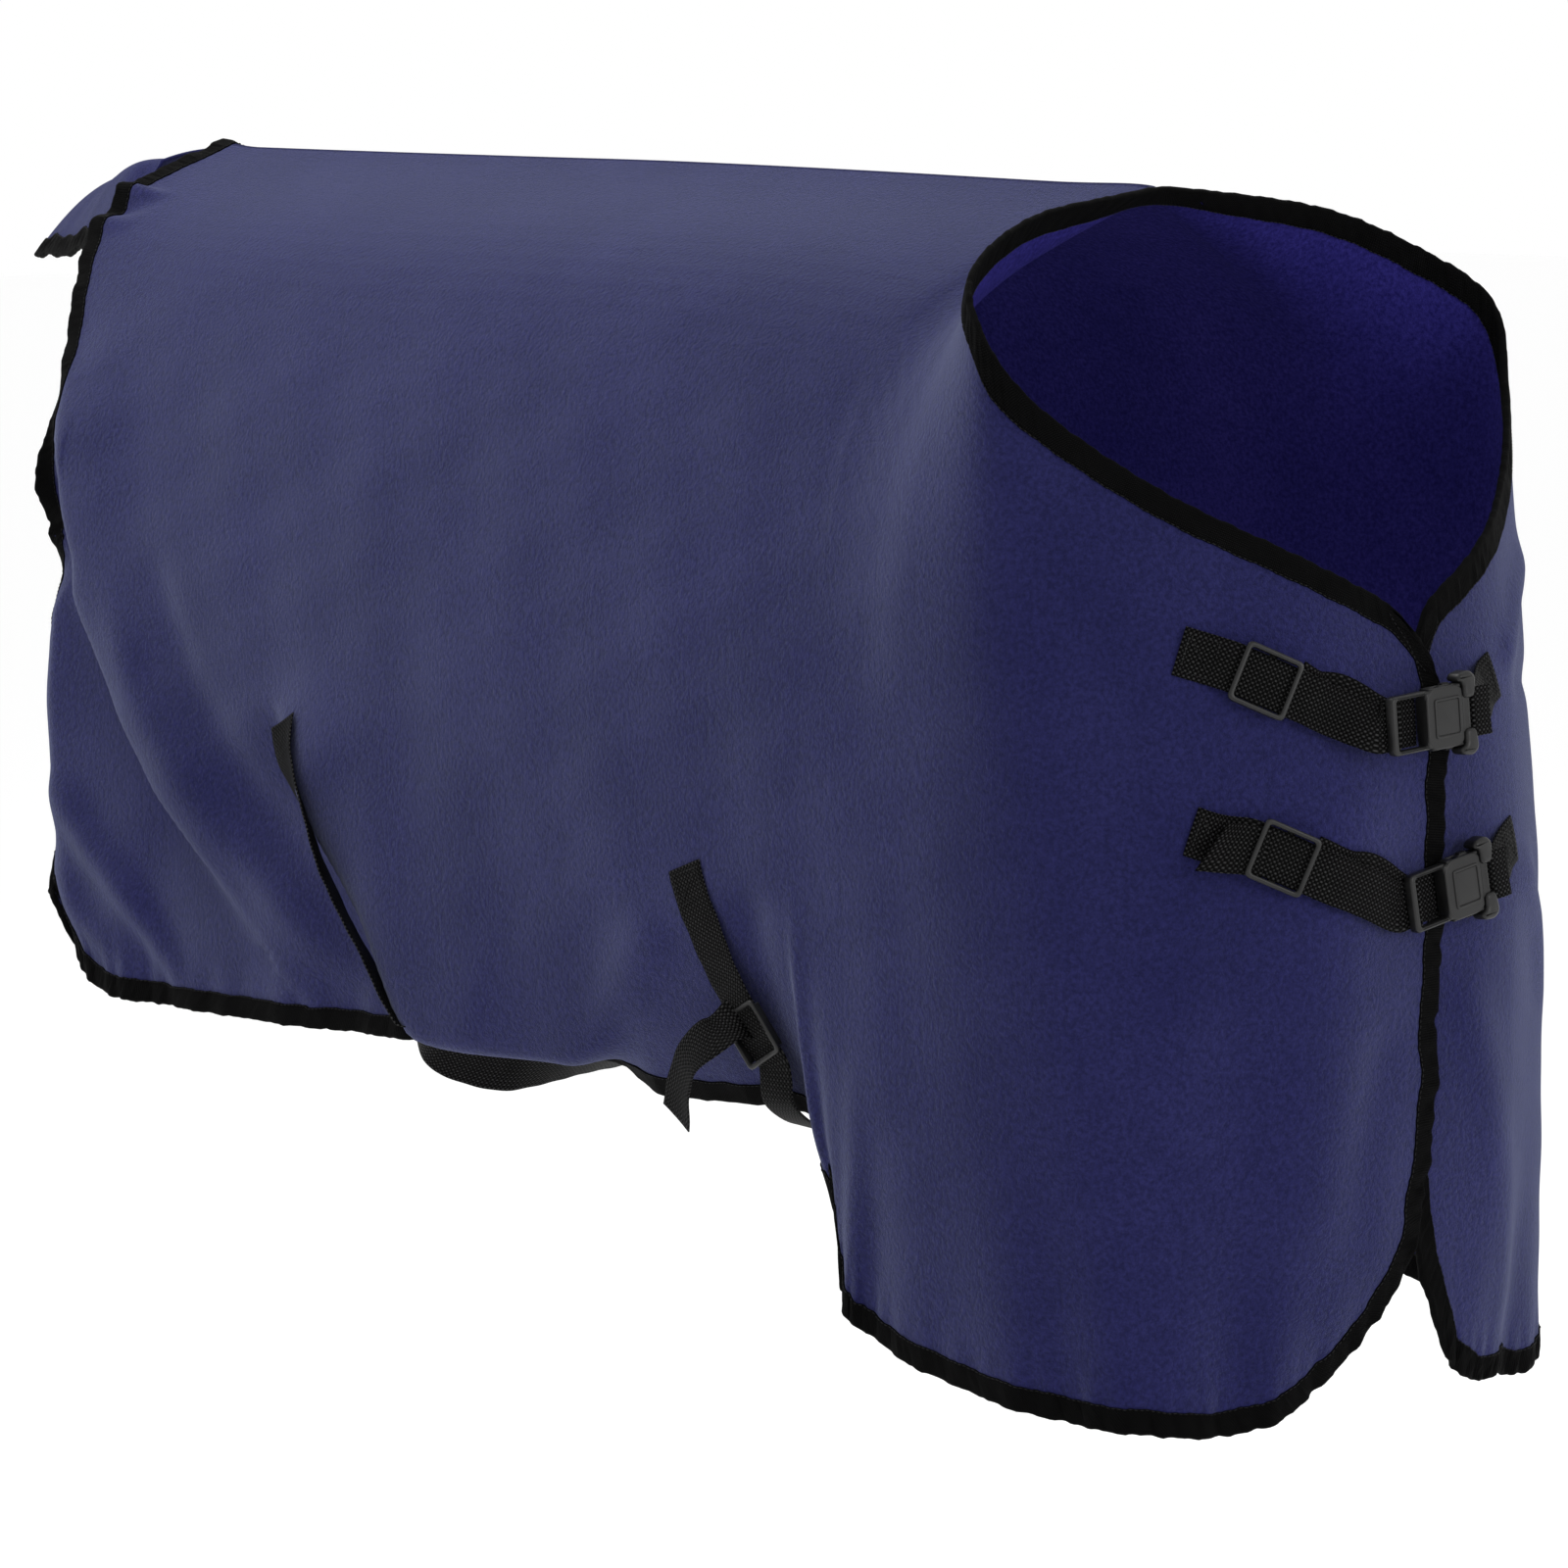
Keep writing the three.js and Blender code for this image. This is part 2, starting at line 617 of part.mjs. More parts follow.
function flankBuckle(name, x, z, lowerX, lowerZ) {
  return buckle(name, onSide(1, x, z, FLANK_LIFT), onSide(1, lowerX, lowerZ, FLANK_LIFT).p);
}

const frontBuckle = flankBuckle('front_surcingle', -180, -600, -170, -680);
const frontSlide = frameAt(onSide(-1, -160, -690, 12), onSide(-1, -186, -645, 10).p);
addMesh('front_surcingle_slide', slideGeometry, plastic, frontSlide);
addMesh('front_surcingle', strap([
  onSide(-1, -236, -560, SURFACE_LIFT),
  onSide(-1, -222, -594, SURFACE_LIFT + 2),
  ...[38, 22, 8, -8, -22, -36].map((x) => inFrame(frontSlide, x, 0, 0)),
  free(-133, -272, -777, 0, -0.7, -0.7),
  free(-128, -240, -790, 0, -0.2, -1),
  free(-122, -150, -796, 0, 0, -1),
  free(-128, 0, -800, 0, 0, -1),
  free(-138, 150, -798, 0, 0, -1),
  free(-150, 254, -790, 0, 0.4, -0.9),
  free(-158, 288, -762, 0, 0.8, -0.6),
  onSide(1, -164, -712, SURFACE_LIFT + 4),
  ...roundBar(frontBuckle, MALE_BAR, 1),
], 3), webbing);
addMesh('front_surcingle_anchor', strap([
  onSide(1, -196, -500, SURFACE_LIFT),
  onSide(1, -192, -520, SURFACE_LIFT + 2),
  ...roundBar(frontBuckle, FEMALE_BAR, -1),
], 3), webbing);
addMesh('front_surcingle_tail', strap([
  inFrame(frontSlide, 22, 0, 7),
  free(-180, -336, -684, -0.1, -1, 0.3),
  free(-205, -339, -701, -0.2, -1, 0.2),
  free(-219, -336, -728, -0.2, -1, 0),
  free(-226, -329, -764, -0.2, -1, 0),
], 4), webbing);

const rearBuckle = flankBuckle('rear_surcingle', -546, -600, -548, -680);
addMesh('rear_surcingle', strap([
  onSide(-1, -776, -490, SURFACE_LIFT),
  onSide(-1, -762, -516, SURFACE_LIFT + 4),
  free(-732, -324, -566, -0.6, -0.8, 0),
  free(-694, -328, -621, -0.6, -0.8, 0),
  free(-646, -322, -686, -0.55, -0.85, -0.1),
  free(-612, -308, -738, -0.4, -0.9, -0.2),
  free(-584, -286, -776, -0.2, -0.8, -0.5),
  free(-560, -225, -803, 0, -0.4, -1),
  free(-552, -130, -808, 0, 0, -1),
  free(-556, 0, -808, 0, 0, -1),
  free(-558, 150, -806, 0, 0, -1),
  free(-553, 262, -792, 0, 0.4, -0.9),
  free(-551, 298, -760, 0, 0.8, -0.6),
  onSide(1, -549, -712, SURFACE_LIFT + 4),
  ...roundBar(rearBuckle, MALE_BAR, 1),
], 3), webbing);
addMesh('rear_surcingle_anchor', strap([
  onSide(1, -544, -500, SURFACE_LIFT),
  onSide(1, -544, -520, SURFACE_LIFT + 2),
  ...roundBar(rearBuckle, FEMALE_BAR, -1),
], 3), webbing);

export default rug;
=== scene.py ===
"""Looks of the fleece turnout rug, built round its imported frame. Metres; +X to the horse's chest,
-Y its right side, +Z up, origin on the back seam at the withers."""
import math

import bpy
import numpy as np
from mathutils import Matrix, Vector


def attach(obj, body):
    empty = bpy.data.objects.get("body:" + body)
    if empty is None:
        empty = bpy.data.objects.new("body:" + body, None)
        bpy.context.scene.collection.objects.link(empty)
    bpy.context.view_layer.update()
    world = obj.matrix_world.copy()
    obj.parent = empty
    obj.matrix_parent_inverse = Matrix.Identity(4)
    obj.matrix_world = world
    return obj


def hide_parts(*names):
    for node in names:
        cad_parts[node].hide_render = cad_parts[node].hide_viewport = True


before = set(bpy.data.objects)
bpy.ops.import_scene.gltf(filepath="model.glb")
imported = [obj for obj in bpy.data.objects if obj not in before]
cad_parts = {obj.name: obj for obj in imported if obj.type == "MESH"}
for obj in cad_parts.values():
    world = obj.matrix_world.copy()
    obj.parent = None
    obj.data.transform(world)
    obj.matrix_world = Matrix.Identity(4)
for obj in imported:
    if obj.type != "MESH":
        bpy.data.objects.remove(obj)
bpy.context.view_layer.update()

# ---- driving sizes, in metres ----
MM = 0.001
CLOTH = 3.6 * MM              # fleece thickness
TAPE_WIDTH = 18 * MM          # binding tape on each face of the fleece
TAPE = 1.2 * MM               # thickness of the tape itself
WEBBING = 40 * MM
WEBBING_THICK = 1.6 * MM
TUCK = 11 * MM                # the left chest edge lies this far behind the right one
CORNER_SAG = 75 * MM          # how much lower the left front corner hangs
FLOOR_Z = -1.5
FLOOR_REACH = 30
BACKDROP_SIDE = (-0.743, 0.669, 0.0)    # the side of the studio that the camera sees
RUG_MIDDLE = (-0.5, 0, -0.4)

# The right half's shape: rows from the chest opening round to the rear edge, each from the top
# edge down to the hem, as [x, half width, z] in millimetres.
STATIONS = [
    [[302, -12, -345], [316, -12, -450], [312, -12, -580],
     [310, -11, -700], [308, -6, -790], [306, 6, -855]],
    [[272, 100, -289], [297, 95, -415], [308, 92, -570],
     [308, 90, -710], [303, 88, -850], [288, 82, -938]],
    [[208, 202, -231], [242, 189, -385], [262, 180, -560],
     [268, 172, -720], [270, 165, -870], [266, 160, -976]],
    [[143, 276, -163], [172, 258, -345], [200, 255, -550],
     [215, 246, -730], [222, 240, -880], [226, 236, -972]],
    [[104, 302, -100], [108, 300, -295], [120, 295, -520],
     [135, 288, -720], [140, 284, -870], [140, 281, -962]],
    [[60, 262, -58], [34, 298, -245], [20, 305, -480],
     [10, 302, -700], [0, 296, -850], [-10, 290, -934]],
    [[30, 163, -20], [-20, 268, -188], [-40, 303, -430],
     [-50, 303, -650], [-60, 294, -800], [-64, 287, -900]],
    [[0, 0, 0], [-75, 225, -128], [-90, 298, -370],
     [-98, 304, -590], [-98, 290, -740], [-84, 276, -835]],
    [[-120, 0, 2], [-140, 215, -112], [-150, 298, -350],
     [-150, 306, -560], [-140, 290, -690], [-128, 252, -766]],
    [[-350, 0, 7], [-350, 212, -98], [-350, 298, -330],
     [-350, 312, -530], [-350, 300, -675], [-355, 258, -766]],
    [[-600, 0, 11], [-600, 212, -93], [-600, 296, -320],
     [-595, 311, -515], [-590, 306, -665], [-600, 276, -762]],
    [[-800, 0, 12], [-800, 210, -92], [-800, 292, -315],
     [-790, 302, -480], [-780, 296, -640], [-790, 284, -764]],
    [[-1000, 0, 13], [-1000, 200, -85], [-1000, 282, -290],
     [-990, 292, -470], [-985, 289, -630], [-985, 285, -768]],
    [[-1150, 0, 14], [-1145, 190, -78], [-1130, 266, -250],
     [-1115, 280, -440], [-1105, 284, -615], [-1085, 287, -764]],
    [[-1277, 0, 15], [-1250, 165, -48], [-1196, 252, -200],
     [-1200, 284, -400], [-1174, 288, -600], [-1140, 288, -726]],
]
LAST = len(STATIONS) - 1
WITHERS = 7 / LAST            # place of the withers along the top edge


# ---- camera, lights and floor ----

def make_camera():
    """A long lens from the front right, a little above the withers."""
    azimuth, pitch, distance, lens = math.radians(48), math.radians(7), 5.1, 141.75
    ahead = Vector((-math.sin(azimuth) * math.cos(pitch),
                    math.cos(azimuth) * math.cos(pitch),
                    -math.sin(pitch)))
    right = Vector((math.cos(azimuth), math.sin(azimuth), 0))
    up = right.cross(ahead)
    withers_right, withers_up = 0.06, 0.0965          # where the withers stand in the view
    data = bpy.data.cameras.new("view")
    data.lens, data.sensor_width = lens, 36
    camera = bpy.data.objects.new("view", data)
    place = -distance * (ahead + withers_right * right + withers_up * up)
    camera.matrix_world = Matrix((right, up, -ahead)).transposed().to_4x4()
    camera.matrix_world.translation = place
    bpy.context.scene.collection.objects.link(camera)
    bpy.context.scene.camera = camera


def area_light(name, place, aim, size, power):
    data = bpy.data.lights.new(name, "AREA")
    data.shape, data.size, data.energy = "DISK", size, power
    light = bpy.data.objects.new(name, data)
    light.location = place
    light.rotation_euler = (Vector(aim) - Vector(place)).to_track_quat("-Z", "Y").to_euler()
    bpy.context.scene.collection.objects.link(light)


def make_world():
    """White where the camera looks, and a little dimmer round the rest of the studio."""
    world = bpy.data.worlds.new("studio")
    world.use_nodes = True
    nodes, links = world.node_tree.nodes, world.node_tree.links
    background = nodes["Background"]
    where = nodes.new("ShaderNodeTexCoord")
    ahead = nodes.new("ShaderNodeVectorMath")
    ahead.operation = "DOT_PRODUCT"
    ahead.inputs[1].default_value = BACKDROP_SIDE
    fade = nodes.new("ShaderNodeMapRange")
    fade.inputs["From Min"].default_value, fade.inputs["From Max"].default_value = 0.55, 0.9
    fade.inputs["To Min"].default_value, fade.inputs["To Max"].default_value = 0.82, 1.0
    links.new(where.outputs["Generated"], ahead.inputs[0])
    links.new(ahead.outputs["Value"], fade.inputs["Value"])
    links.new(fade.outputs["Result"], background.inputs["Strength"])
    background.inputs["Color"].default_value = (1, 1, 1, 1)
    bpy.context.scene.world = world
    bpy.context.scene.view_settings.view_transform = "Standard"


def make_floor():
    mesh = bpy.data.meshes.new("floor")
    corners = [(-1, -1), (1, -1), (1, 1), (-1, 1)]
    mesh.from_pydata([(x * FLOOR_REACH, y * FLOOR_REACH, FLOOR_Z) for x, y in corners], [], [(0, 1, 2, 3)])
    floor = bpy.data.objects.new("floor", mesh)
    bpy.context.scene.collection.objects.link(floor)
    pale = bpy.data.materials.new("pale_floor")
    pale.use_nodes = True
    shader = pale.node_tree.nodes["Principled BSDF"]
    shader.inputs["Base Color"].default_value = (0.93, 0.93, 0.93, 1)
    shader.inputs["Roughness"].default_value = 0.9
    shader.inputs["Emission Color"].default_value = (1, 1, 1, 1)
    shader.inputs["Emission Strength"].default_value = 0.2
    mesh.materials.append(pale)


def make_studio():
    make_world()
    area_light("overhead", (-1.4, -0.9, 2.3), RUG_MIDDLE, 1.8, 62)
    area_light("front_fill", (3.0, 0.4, 0.3), RUG_MIDDLE, 1.5, 32)
    make_floor()


# ---- materials ----

class Shader:
    """A short way to write a material's nodes."""

    def __init__(self, name, roughness, **settings):
        self.material = bpy.data.materials.new(name)
        self.material.use_nodes = True
        self.tree = self.material.node_tree
        self.main = self.tree.nodes["Principled BSDF"]
        self.main.inputs["Roughness"].default_value = roughness
        for key, value in settings.items():
            self.main.inputs[key.replace("_", " ")].default_value = value

    def add(self, kind, inputs=(), **settings):
        """A node whose inputs are linked where they come from another node, and set where not."""
        node = self.tree.nodes.new(kind)
        for key, value in settings.items():
            setattr(node, key, value)
        for key, value in dict(inputs).items():
            if isinstance(value, bpy.types.NodeSocket):
                self.tree.links.new(value, node.inputs[key])
            else:
                node.inputs[key].default_value = value
        return node

    def noise(self, where, scale, detail=2.0, roughness=0.5):
        return self.add("ShaderNodeTexNoise", {"Vector": where, "Scale": scale, "Detail": detail,
                                               "Roughness": roughness}).outputs["Fac"]

    def ramp(self, value, low, high, color_low, color_high):
        node = self.add("ShaderNodeValToRGB", {"Fac": value})
        ends = node.color_ramp.elements
        ends[0].position, ends[0].color = low, (*color_low, 1)
        ends[1].position, ends[1].color = high, (*color_high, 1)
        return node.outputs["Color"]

    def mix(self, kind, share, a, b):
        inputs = {0: share, 6: a, 7: b}
        return self.add("ShaderNodeMix", inputs, data_type="RGBA", blend_type=kind).outputs[2]

    def math(self, operation, *values):
        return self.add("ShaderNodeMath", dict(enumerate(values)), operation=operation).outputs[0]

    def color(self, socket):
        self.tree.links.new(socket, self.main.inputs["Base Color"])

    def bump(self, height, distance, strength, below=None):
        inputs = {"Height": height, "Distance": distance, "Strength": strength}
        if below is not None:
            inputs["Normal"] = below
        socket = self.add("ShaderNodeBump", inputs).outputs["Normal"]
        self.tree.links.new(socket, self.main.inputs["Normal"])
        return socket


def fleece_material(name, low, high, sheen):
    """Short brushed fleece: mottled pile with a soft sheen."""
    s = Shader(name, 0.95, Sheen_Weight=sheen, Sheen_Roughness=0.5, Sheen_Tint=(0.5, 0.55, 0.73, 1),
               Specular_IOR_Level=0.04)
    where = s.add("ShaderNodeTexCoord").outputs["Object"]
    broad = s.noise(where, 7, 3)
    clumps = s.noise(where, 260, 4, 0.7)
    pile = s.noise(where, 1200, 3, 0.7)
    base = s.ramp(broad, 0.35, 0.68, low, high)
    worn = s.ramp(clumps, 0.36, 0.66, (0.6, 0.6, 0.68), (1.42, 1.42, 1.32))
    s.color(s.mix("MULTIPLY", 1.0, base, worn))
    soft = s.bump(clumps, 0.0018, 0.75)
    s.bump(pile, 0.0008, 0.6, soft)
    return s.material


def woven_material(name, dark, light, rows, across, roughness, slant=0.0):
    """Woven tape or webbing. The weave follows the strap: its own coordinates run along and
    across it in metres."""
    s = Shader(name, roughness, Specular_IOR_Level=0.035)
    place = s.add("ShaderNodeAttribute", attribute_name="weave").outputs["Vector"]
    split = s.add("ShaderNodeSeparateXYZ", {0: place})
    along, over = split.outputs[0], split.outputs[1]
    lean = s.math("MULTIPLY_ADD", over, slant, along)
    ribs = s.math("SINE", s.math("MULTIPLY", lean, 2 * math.pi / rows))
    yarns = s.math("SINE", s.math("MULTIPLY", over, 2 * math.pi / across))
    weave = s.math("MULTIPLY_ADD", ribs, yarns, s.math("MULTIPLY", yarns, 0.3))
    height = s.math("MULTIPLY_ADD", weave, 0.4, 0.5)
    where = s.add("ShaderNodeTexCoord").outputs["Object"]
    fuzz = s.noise(where, 700, 3, 0.7)
    dust = s.noise(where, 45, 3, 0.6)
    # painted highlight: the raised yarns take the light colour and the hollows the dark one, standing in for
    # light catching the weave's crests
    thread = s.ramp(height, 0.5, 1.0, dark, light)
    mottle = s.ramp(dust, 0.3, 0.75, (0.75, 0.75, 0.75), (1.25, 1.25, 1.25))
    s.color(s.mix("MULTIPLY", 1.0, thread, mottle))
    base = s.bump(height, 0.0011, 1.0)
    s.bump(fuzz, 0.0004, 0.3, base)
    return s.material


def plastic_material():
    """Satin moulded nylon with a fine spark-eroded grain and slightly polished patches."""
    s = Shader("buckle_plastic", 0.34, Specular_IOR_Level=0.34)
    where = s.add("ShaderNodeTexCoord").outputs["Object"]
    grain = s.noise(where, 2600, 2, 0.6)
    wear = s.noise(where, 60, 4, 0.6)
    s.color(s.ramp(wear, 0.35, 0.7, (0.004, 0.004, 0.0042), (0.008, 0.008, 0.0082)))
    rough = s.add("ShaderNodeMapRange", {"Value": wear, "From Min": 0.3, "From Max": 0.7,
                                         "To Min": 0.34, "To Max": 0.5}).outputs[0]
    s.tree.links.new(rough, s.main.inputs["Roughness"])
    s.bump(grain, 0.00015, 0.35)
    return s.material


def thread_material():
    s = Shader("thread", 0.6, Specular_IOR_Level=0.2)
    where = s.add("ShaderNodeTexCoord").outputs["Object"]
    s.color(s.ramp(s.noise(where, 1500, 2), 0.3, 0.7, (0.004, 0.004, 0.0045), (0.012, 0.012, 0.013)))
    return s.material


# ---- the draped cloth as numbers ----

def carried_on(points):
    """The points with one more at each end, carrying the line straight on."""
    return np.concatenate([[2 * points[0] - points[1]], points, [2 * points[-1] - points[-2]]])


def bend(f, b, c, m0, m1):
    """Places at f (0 .. 1) on the smooth curve from b to c that leaves along m0 and arrives along m1."""
    return ((2 * f**3 - 3 * f**2 + 1) * b + (f**3 - 2 * f**2 + f) * m0
            + (3 * f**2 - 2 * f**3) * c + (f**3 - f**2) * m1)


def places_on(line, marks, where):
    """Places on a line of points, where each point's distance along it is in marks."""
    return np.stack([np.interp(where, marks, line[:, axis]) for axis in range(3)], -1)


def run_along(points):
    """The distance along a line of points, at each of them."""
    return np.concatenate([[0], np.cumsum(np.linalg.norm(np.diff(points, axis=0), axis=1))])


def catmull(points, t):
    """Places at t (0 .. rows - 1) on the smooth curve through the rows of points."""
    p = carried_on(points)
    k = np.clip(np.floor(t).astype(int), 0, len(points) - 2)
    f = (t - k).reshape((-1,) + (1,) * (points.ndim - 1))
    a, b, c, d = p[k], p[k + 1], p[k + 2], p[k + 3]
    return bend(f, b, c, (c - a) / 2, (d - b) / 2)


RAILS = np.array(STATIONS, float) * [MM, -MM, MM]


def surface(side, s, u):
    """The plain surface. s is (n,), from the chest opening to the rear edge; u is (n, k), from the
    top edge to the hem; side is -1 on the right and 1 on the left. Gives (n, k, 3)."""
    s = np.clip(s, 0, 1)
    stops = catmull(RAILS, s * LAST)
    stops[s > WITHERS, 0, 1] = 0
    dense = catmull(stops.transpose(1, 0, 2), np.linspace(0, 5, 49)).transpose(1, 0, 2)
    lengths = np.linalg.norm(np.diff(dense, axis=1), axis=2)
    marks = np.concatenate([np.zeros((len(s), 1)), np.cumsum(lengths, 1)], 1)
    out = np.empty(u.shape + (3,))
    for i in range(len(s)):
        out[i] = places_on(dense[i], marks[i] / marks[i, -1], u[i])
    if side > 0:
        out[..., 1] *= -1
        out[..., 0] -= TUCK * np.maximum(0, 1 - s * LAST / 1.3)[:, None]
        near_front = np.maximum(0, 1 - s * LAST / 1.6)[:, None]
        near_hem = np.maximum(0, (u - 0.78) / 0.22)
        sag = CORNER_SAG * near_front * near_hem ** 1.5
        out[..., 2] -= sag
        out[..., 1] += 0.35 * sag
    return out


def smooth_step(x, low, high):
    t = np.clip((x - low) / (high - low), 0, 1)
    return t * t * (3 - 2 * t)


def unit(v):
    return v / np.maximum(np.linalg.norm(v, axis=-1, keepdims=True), 1e-9)


# Folds of the flank, as [points (x, z) in mm, height in mm, width in mm, reach in mm or 0]. A fold
# with a reach is a step: the cloth stands out on one side of its line and falls back on the other.
RIGHT_FOLDS = [
    ([(-812, -455), (-748, -572), (-690, -634), (-624, -692), (-540, -742), (-440, -778)], 17, 8, 110),
    ([(-1215, -150), (-1190, -210), (-1160, -305), (-1118, -398), (-1050, -502), (-985, -572), (-910, -640),
      (-850, -690)], 21, 9, 80),
    ([(-1080, -360), (-1010, -480), (-900, -590), (-770, -680), (-660, -750)], 7, 24, 0),
    ([(-1020, -330), (-940, -460), (-850, -560), (-740, -650)], -5, 24, 0),
    ([(-1150, -560), (-1090, -640), (-1000, -720), (-960, -760)], 11, 16, 0),
    ([(-1170, -620), (-1120, -690), (-1060, -740)], 7, 15, 0),
    ([(-260, -600), (-330, -680), (-420, -745)], 5, 28, 0),
    ([(-170, -560), (-140, -680), (-120, -760)], -6, 26, 0),
]
LEFT_FOLDS = [
    ([(-710, -420), (-650, -600), (-620, -760)], 9, 26, 0),
    ([(-1228, -70), (-1195, -250), (-1160, -420), (-1100, -560), (-1010, -700)], 11, 12, 80),
    ([(-1050, -380), (-960, -520), (-830, -660), (-740, -760)], 8, 26, 0),
    ([(-820, -350), (-720, -520), (-640, -700)], -6, 30, 0),
    ([(-330, -420), (-285, -620), (-262, -760)], 7, 26, 0),
    ([(-30, -300), (0, -560), (-20, -880)], 5, 36, 0),
]
# Folds of the chest, the same but with (y, z).
RIGHT_CHEST_FOLDS = [
    ([(-60, -420), (-110, -620), (-150, -900)], 4, 40, 0),
    ([(-190, -300), (-215, -500), (-225, -800)], 5, 45, 0),
    ([(-40, -640), (-70, -760), (-90, -900)], -4, 26, 0),
]
LEFT_CHEST_FOLDS = [
    ([(110, -392), (175, -330), (250, -290)], 6, 15, 0),
    ([(130, -400), (200, -400), (280, -430)], -4, 14, 0),
    ([(120, -525), (190, -600), (250, -720)], 6, 20, 0),
    ([(40, -600), (90, -740), (120, -900)], 5, 24, 0),
]


def line_distance(x, z, points):
    """Signed distance from a bent line, and how far along it (0 .. 1) the nearest point is."""
    points = np.array(points) * MM
    best = np.full(x.shape, 9.0)
    signed, along = np.zeros(x.shape), np.zeros(x.shape)
    marks = run_along(points)
    for k, (dx, dz) in enumerate(np.diff(points, axis=0)):
        length = math.hypot(dx, dz)
        px, pz = x - points[k, 0], z - points[k, 1]
        t = np.clip((px * dx + pz * dz) / length**2, 0, 1)
        gap = np.hypot(px - t * dx, pz - t * dz)
        near = gap < best
        best = np.where(near, gap, best)
        signed = np.where(near, gap * np.sign(dx * pz - dz * px), signed)
        along = np.where(near, (marks[k] + t * length) / marks[-1], along)
    return signed, along


def folds(x, z, lines):
    height = np.zeros(x.shape)
    for points, rise, width, reach in lines:
        signed, along = line_distance(x, z, points)
        fade = smooth_step(along, 0.0, 0.2) * (1 - 0.85 * smooth_step(along, 0.72, 1.0))
        if reach:
            profile = np.tanh(signed / (width * MM)) * np.exp(-(signed / (reach * MM)) ** 2)
        else:
            profile = np.exp(-(signed / (width * MM)) ** 2)
        height += rise * MM * profile * fade
    return height


def fold_height(side, p, s, u):
    """How far the cloth stands off its plain surface."""
    x, y, z = p[..., 0], p[..., 1], p[..., 2]
    flank = smooth_step(s, 0.26, 0.4)
    chest = 1 - smooth_step(s, 0.16, 0.24)
    height = flank * folds(x, z, RIGHT_FOLDS if side < 0 else LEFT_FOLDS)
    height += chest * folds(y, z, RIGHT_CHEST_FOLDS if side < 0 else LEFT_CHEST_FOLDS)
    for place_u, rise, wide in PLEATS:
        lean = (u - place_u + 0.35 * (1 - s)) / wide
        height += rise * MM * np.exp(-lean**2) * smooth_step(s, 0.955, 0.99)
    low = smooth_step(u, 0.15, 0.45)
    seed = 0.0 if side < 0 else 1.7
    height += 1.5 * MM * low * np.sin(23 * x + 9 * z + 1.3 + seed) * np.sin(17 * z - 6 * x + 14 * y + 0.4)
    height += 0.7 * MM * low * np.sin(51 * x - 33 * z + seed) * np.sin(44 * z + 12 * x + 31 * y + 2.0)
    drape = smooth_step(u, 0.72, 1.0) * smooth_step(s, 0.02, 0.1)
    height += 3.4 * MM * drape * (np.sin(s * 62 + 1.1 + seed) + 0.6 * np.sin(s * 113 + 0.3 + seed))
    height += 0.8 * MM * smooth_step(u, 0.93, 1.0) * (np.sin(s * 420 + seed) + np.sin(s * 260 + 1.0))
    near_side = np.maximum(smooth_step(s, 0.985, 1.0), 1 - smooth_step(s, 0.0, 0.012))
    height += 0.7 * MM * near_side * (np.sin(u * 150 + seed) + np.sin(u * 97 + 2.0))
    return height


# Small pleats where the croup meets the rear edge: [height up the edge, rise in mm, width].
PLEATS = [(0.158, 11, 0.011), (0.186, -7, 0.014), (0.214, 6, 0.013)]
CURL_FROM = 62 * MM           # the rear edge curls in or flares out over this width
CURL_RADIUS = 40 * MM
REAR_PUSH = {-1: 46 * MM, 1: 36 * MM}   # how far back the curled part of each rear edge lies
HEM_TUCK = 30 * MM            # where the belly surcingles pull the right hem in ...
HEM_RISE, HEM_DROP = 46 * MM, 47 * MM   # ... it turns up under the cloth that bellies down above it


def rear_curl(side, u):
    """How the rear edge rolls: in towards the horse (positive) or flaring out, at each height."""
    inward = smooth_step(u, 0.555, 0.63) * (1 - smooth_step(u, 0.83, 0.97))
    flare = smooth_step(u, 0.37, 0.49) * (1 - smooth_step(u, 0.49, 0.58))
    raised = 1 - smooth_step(u, 0.04, 0.3)
    return inward * (1.25 if side < 0 else 0.8) - flare * (0.5 if side < 0 else 0.3) - raised * 0.15


def outward(side, s, u):
    d = 0.004
    over = surface(side, s + d, u) - surface(side, s - d, u)
    down = surface(side, s, np.minimum(u + d, 1)) - surface(side, s, np.maximum(u - d, 0))
    return unit(np.cross(down, over) * side)


def roll_rear(side, s, u, flat, out):
    """Rolls the rear edge in flat and out (places and facings at s, u) by rear_curl()."""
    rear = np.nonzero(s > 0.88)[0]
    if not len(rear):
        return
    heights = u[rear].ravel()[:, None]
    ones = np.ones(len(heights))
    run = surface(side, ones, heights) - surface(side, ones * 0.95, heights)
    pace = np.linalg.norm(run, axis=-1) / 0.05
    far = (np.repeat(s[rear], u.shape[1])[:, None] - 1) * pace + CURL_FROM
    bend = 1 - CURL_FROM / pace[:, 0]
    start = surface(side, bend, heights)
    tangent = unit(surface(side, bend + 0.003, heights) - surface(side, bend - 0.003, heights))
    start_out = outward(side, bend, heights)
    curl = rear_curl(side, heights)[..., None]
    turn = np.where(np.abs(curl) < 0.02, 0.02, curl) / CURL_RADIUS
    angle = np.clip(far, 0, CURL_FROM)[..., None] * turn
    rolled = start + tangent * np.sin(angle) / turn - start_out * (1 - np.cos(angle)) / turn
    rolled_out = start_out * np.cos(angle) + tangent * np.sin(angle)
    shape = (len(rear), u.shape[1])
    share = smooth_step(np.abs(curl[..., 0]), 0.02, 0.22) * smooth_step(far, 0, CURL_FROM / 3)
    share = share.reshape(shape)[..., None]
    flat[rear] += share * (rolled.reshape(shape + (3,)) - flat[rear])
    out[rear] = unit(out[rear] + share * (rolled_out.reshape(shape + (3,)) - out[rear]))


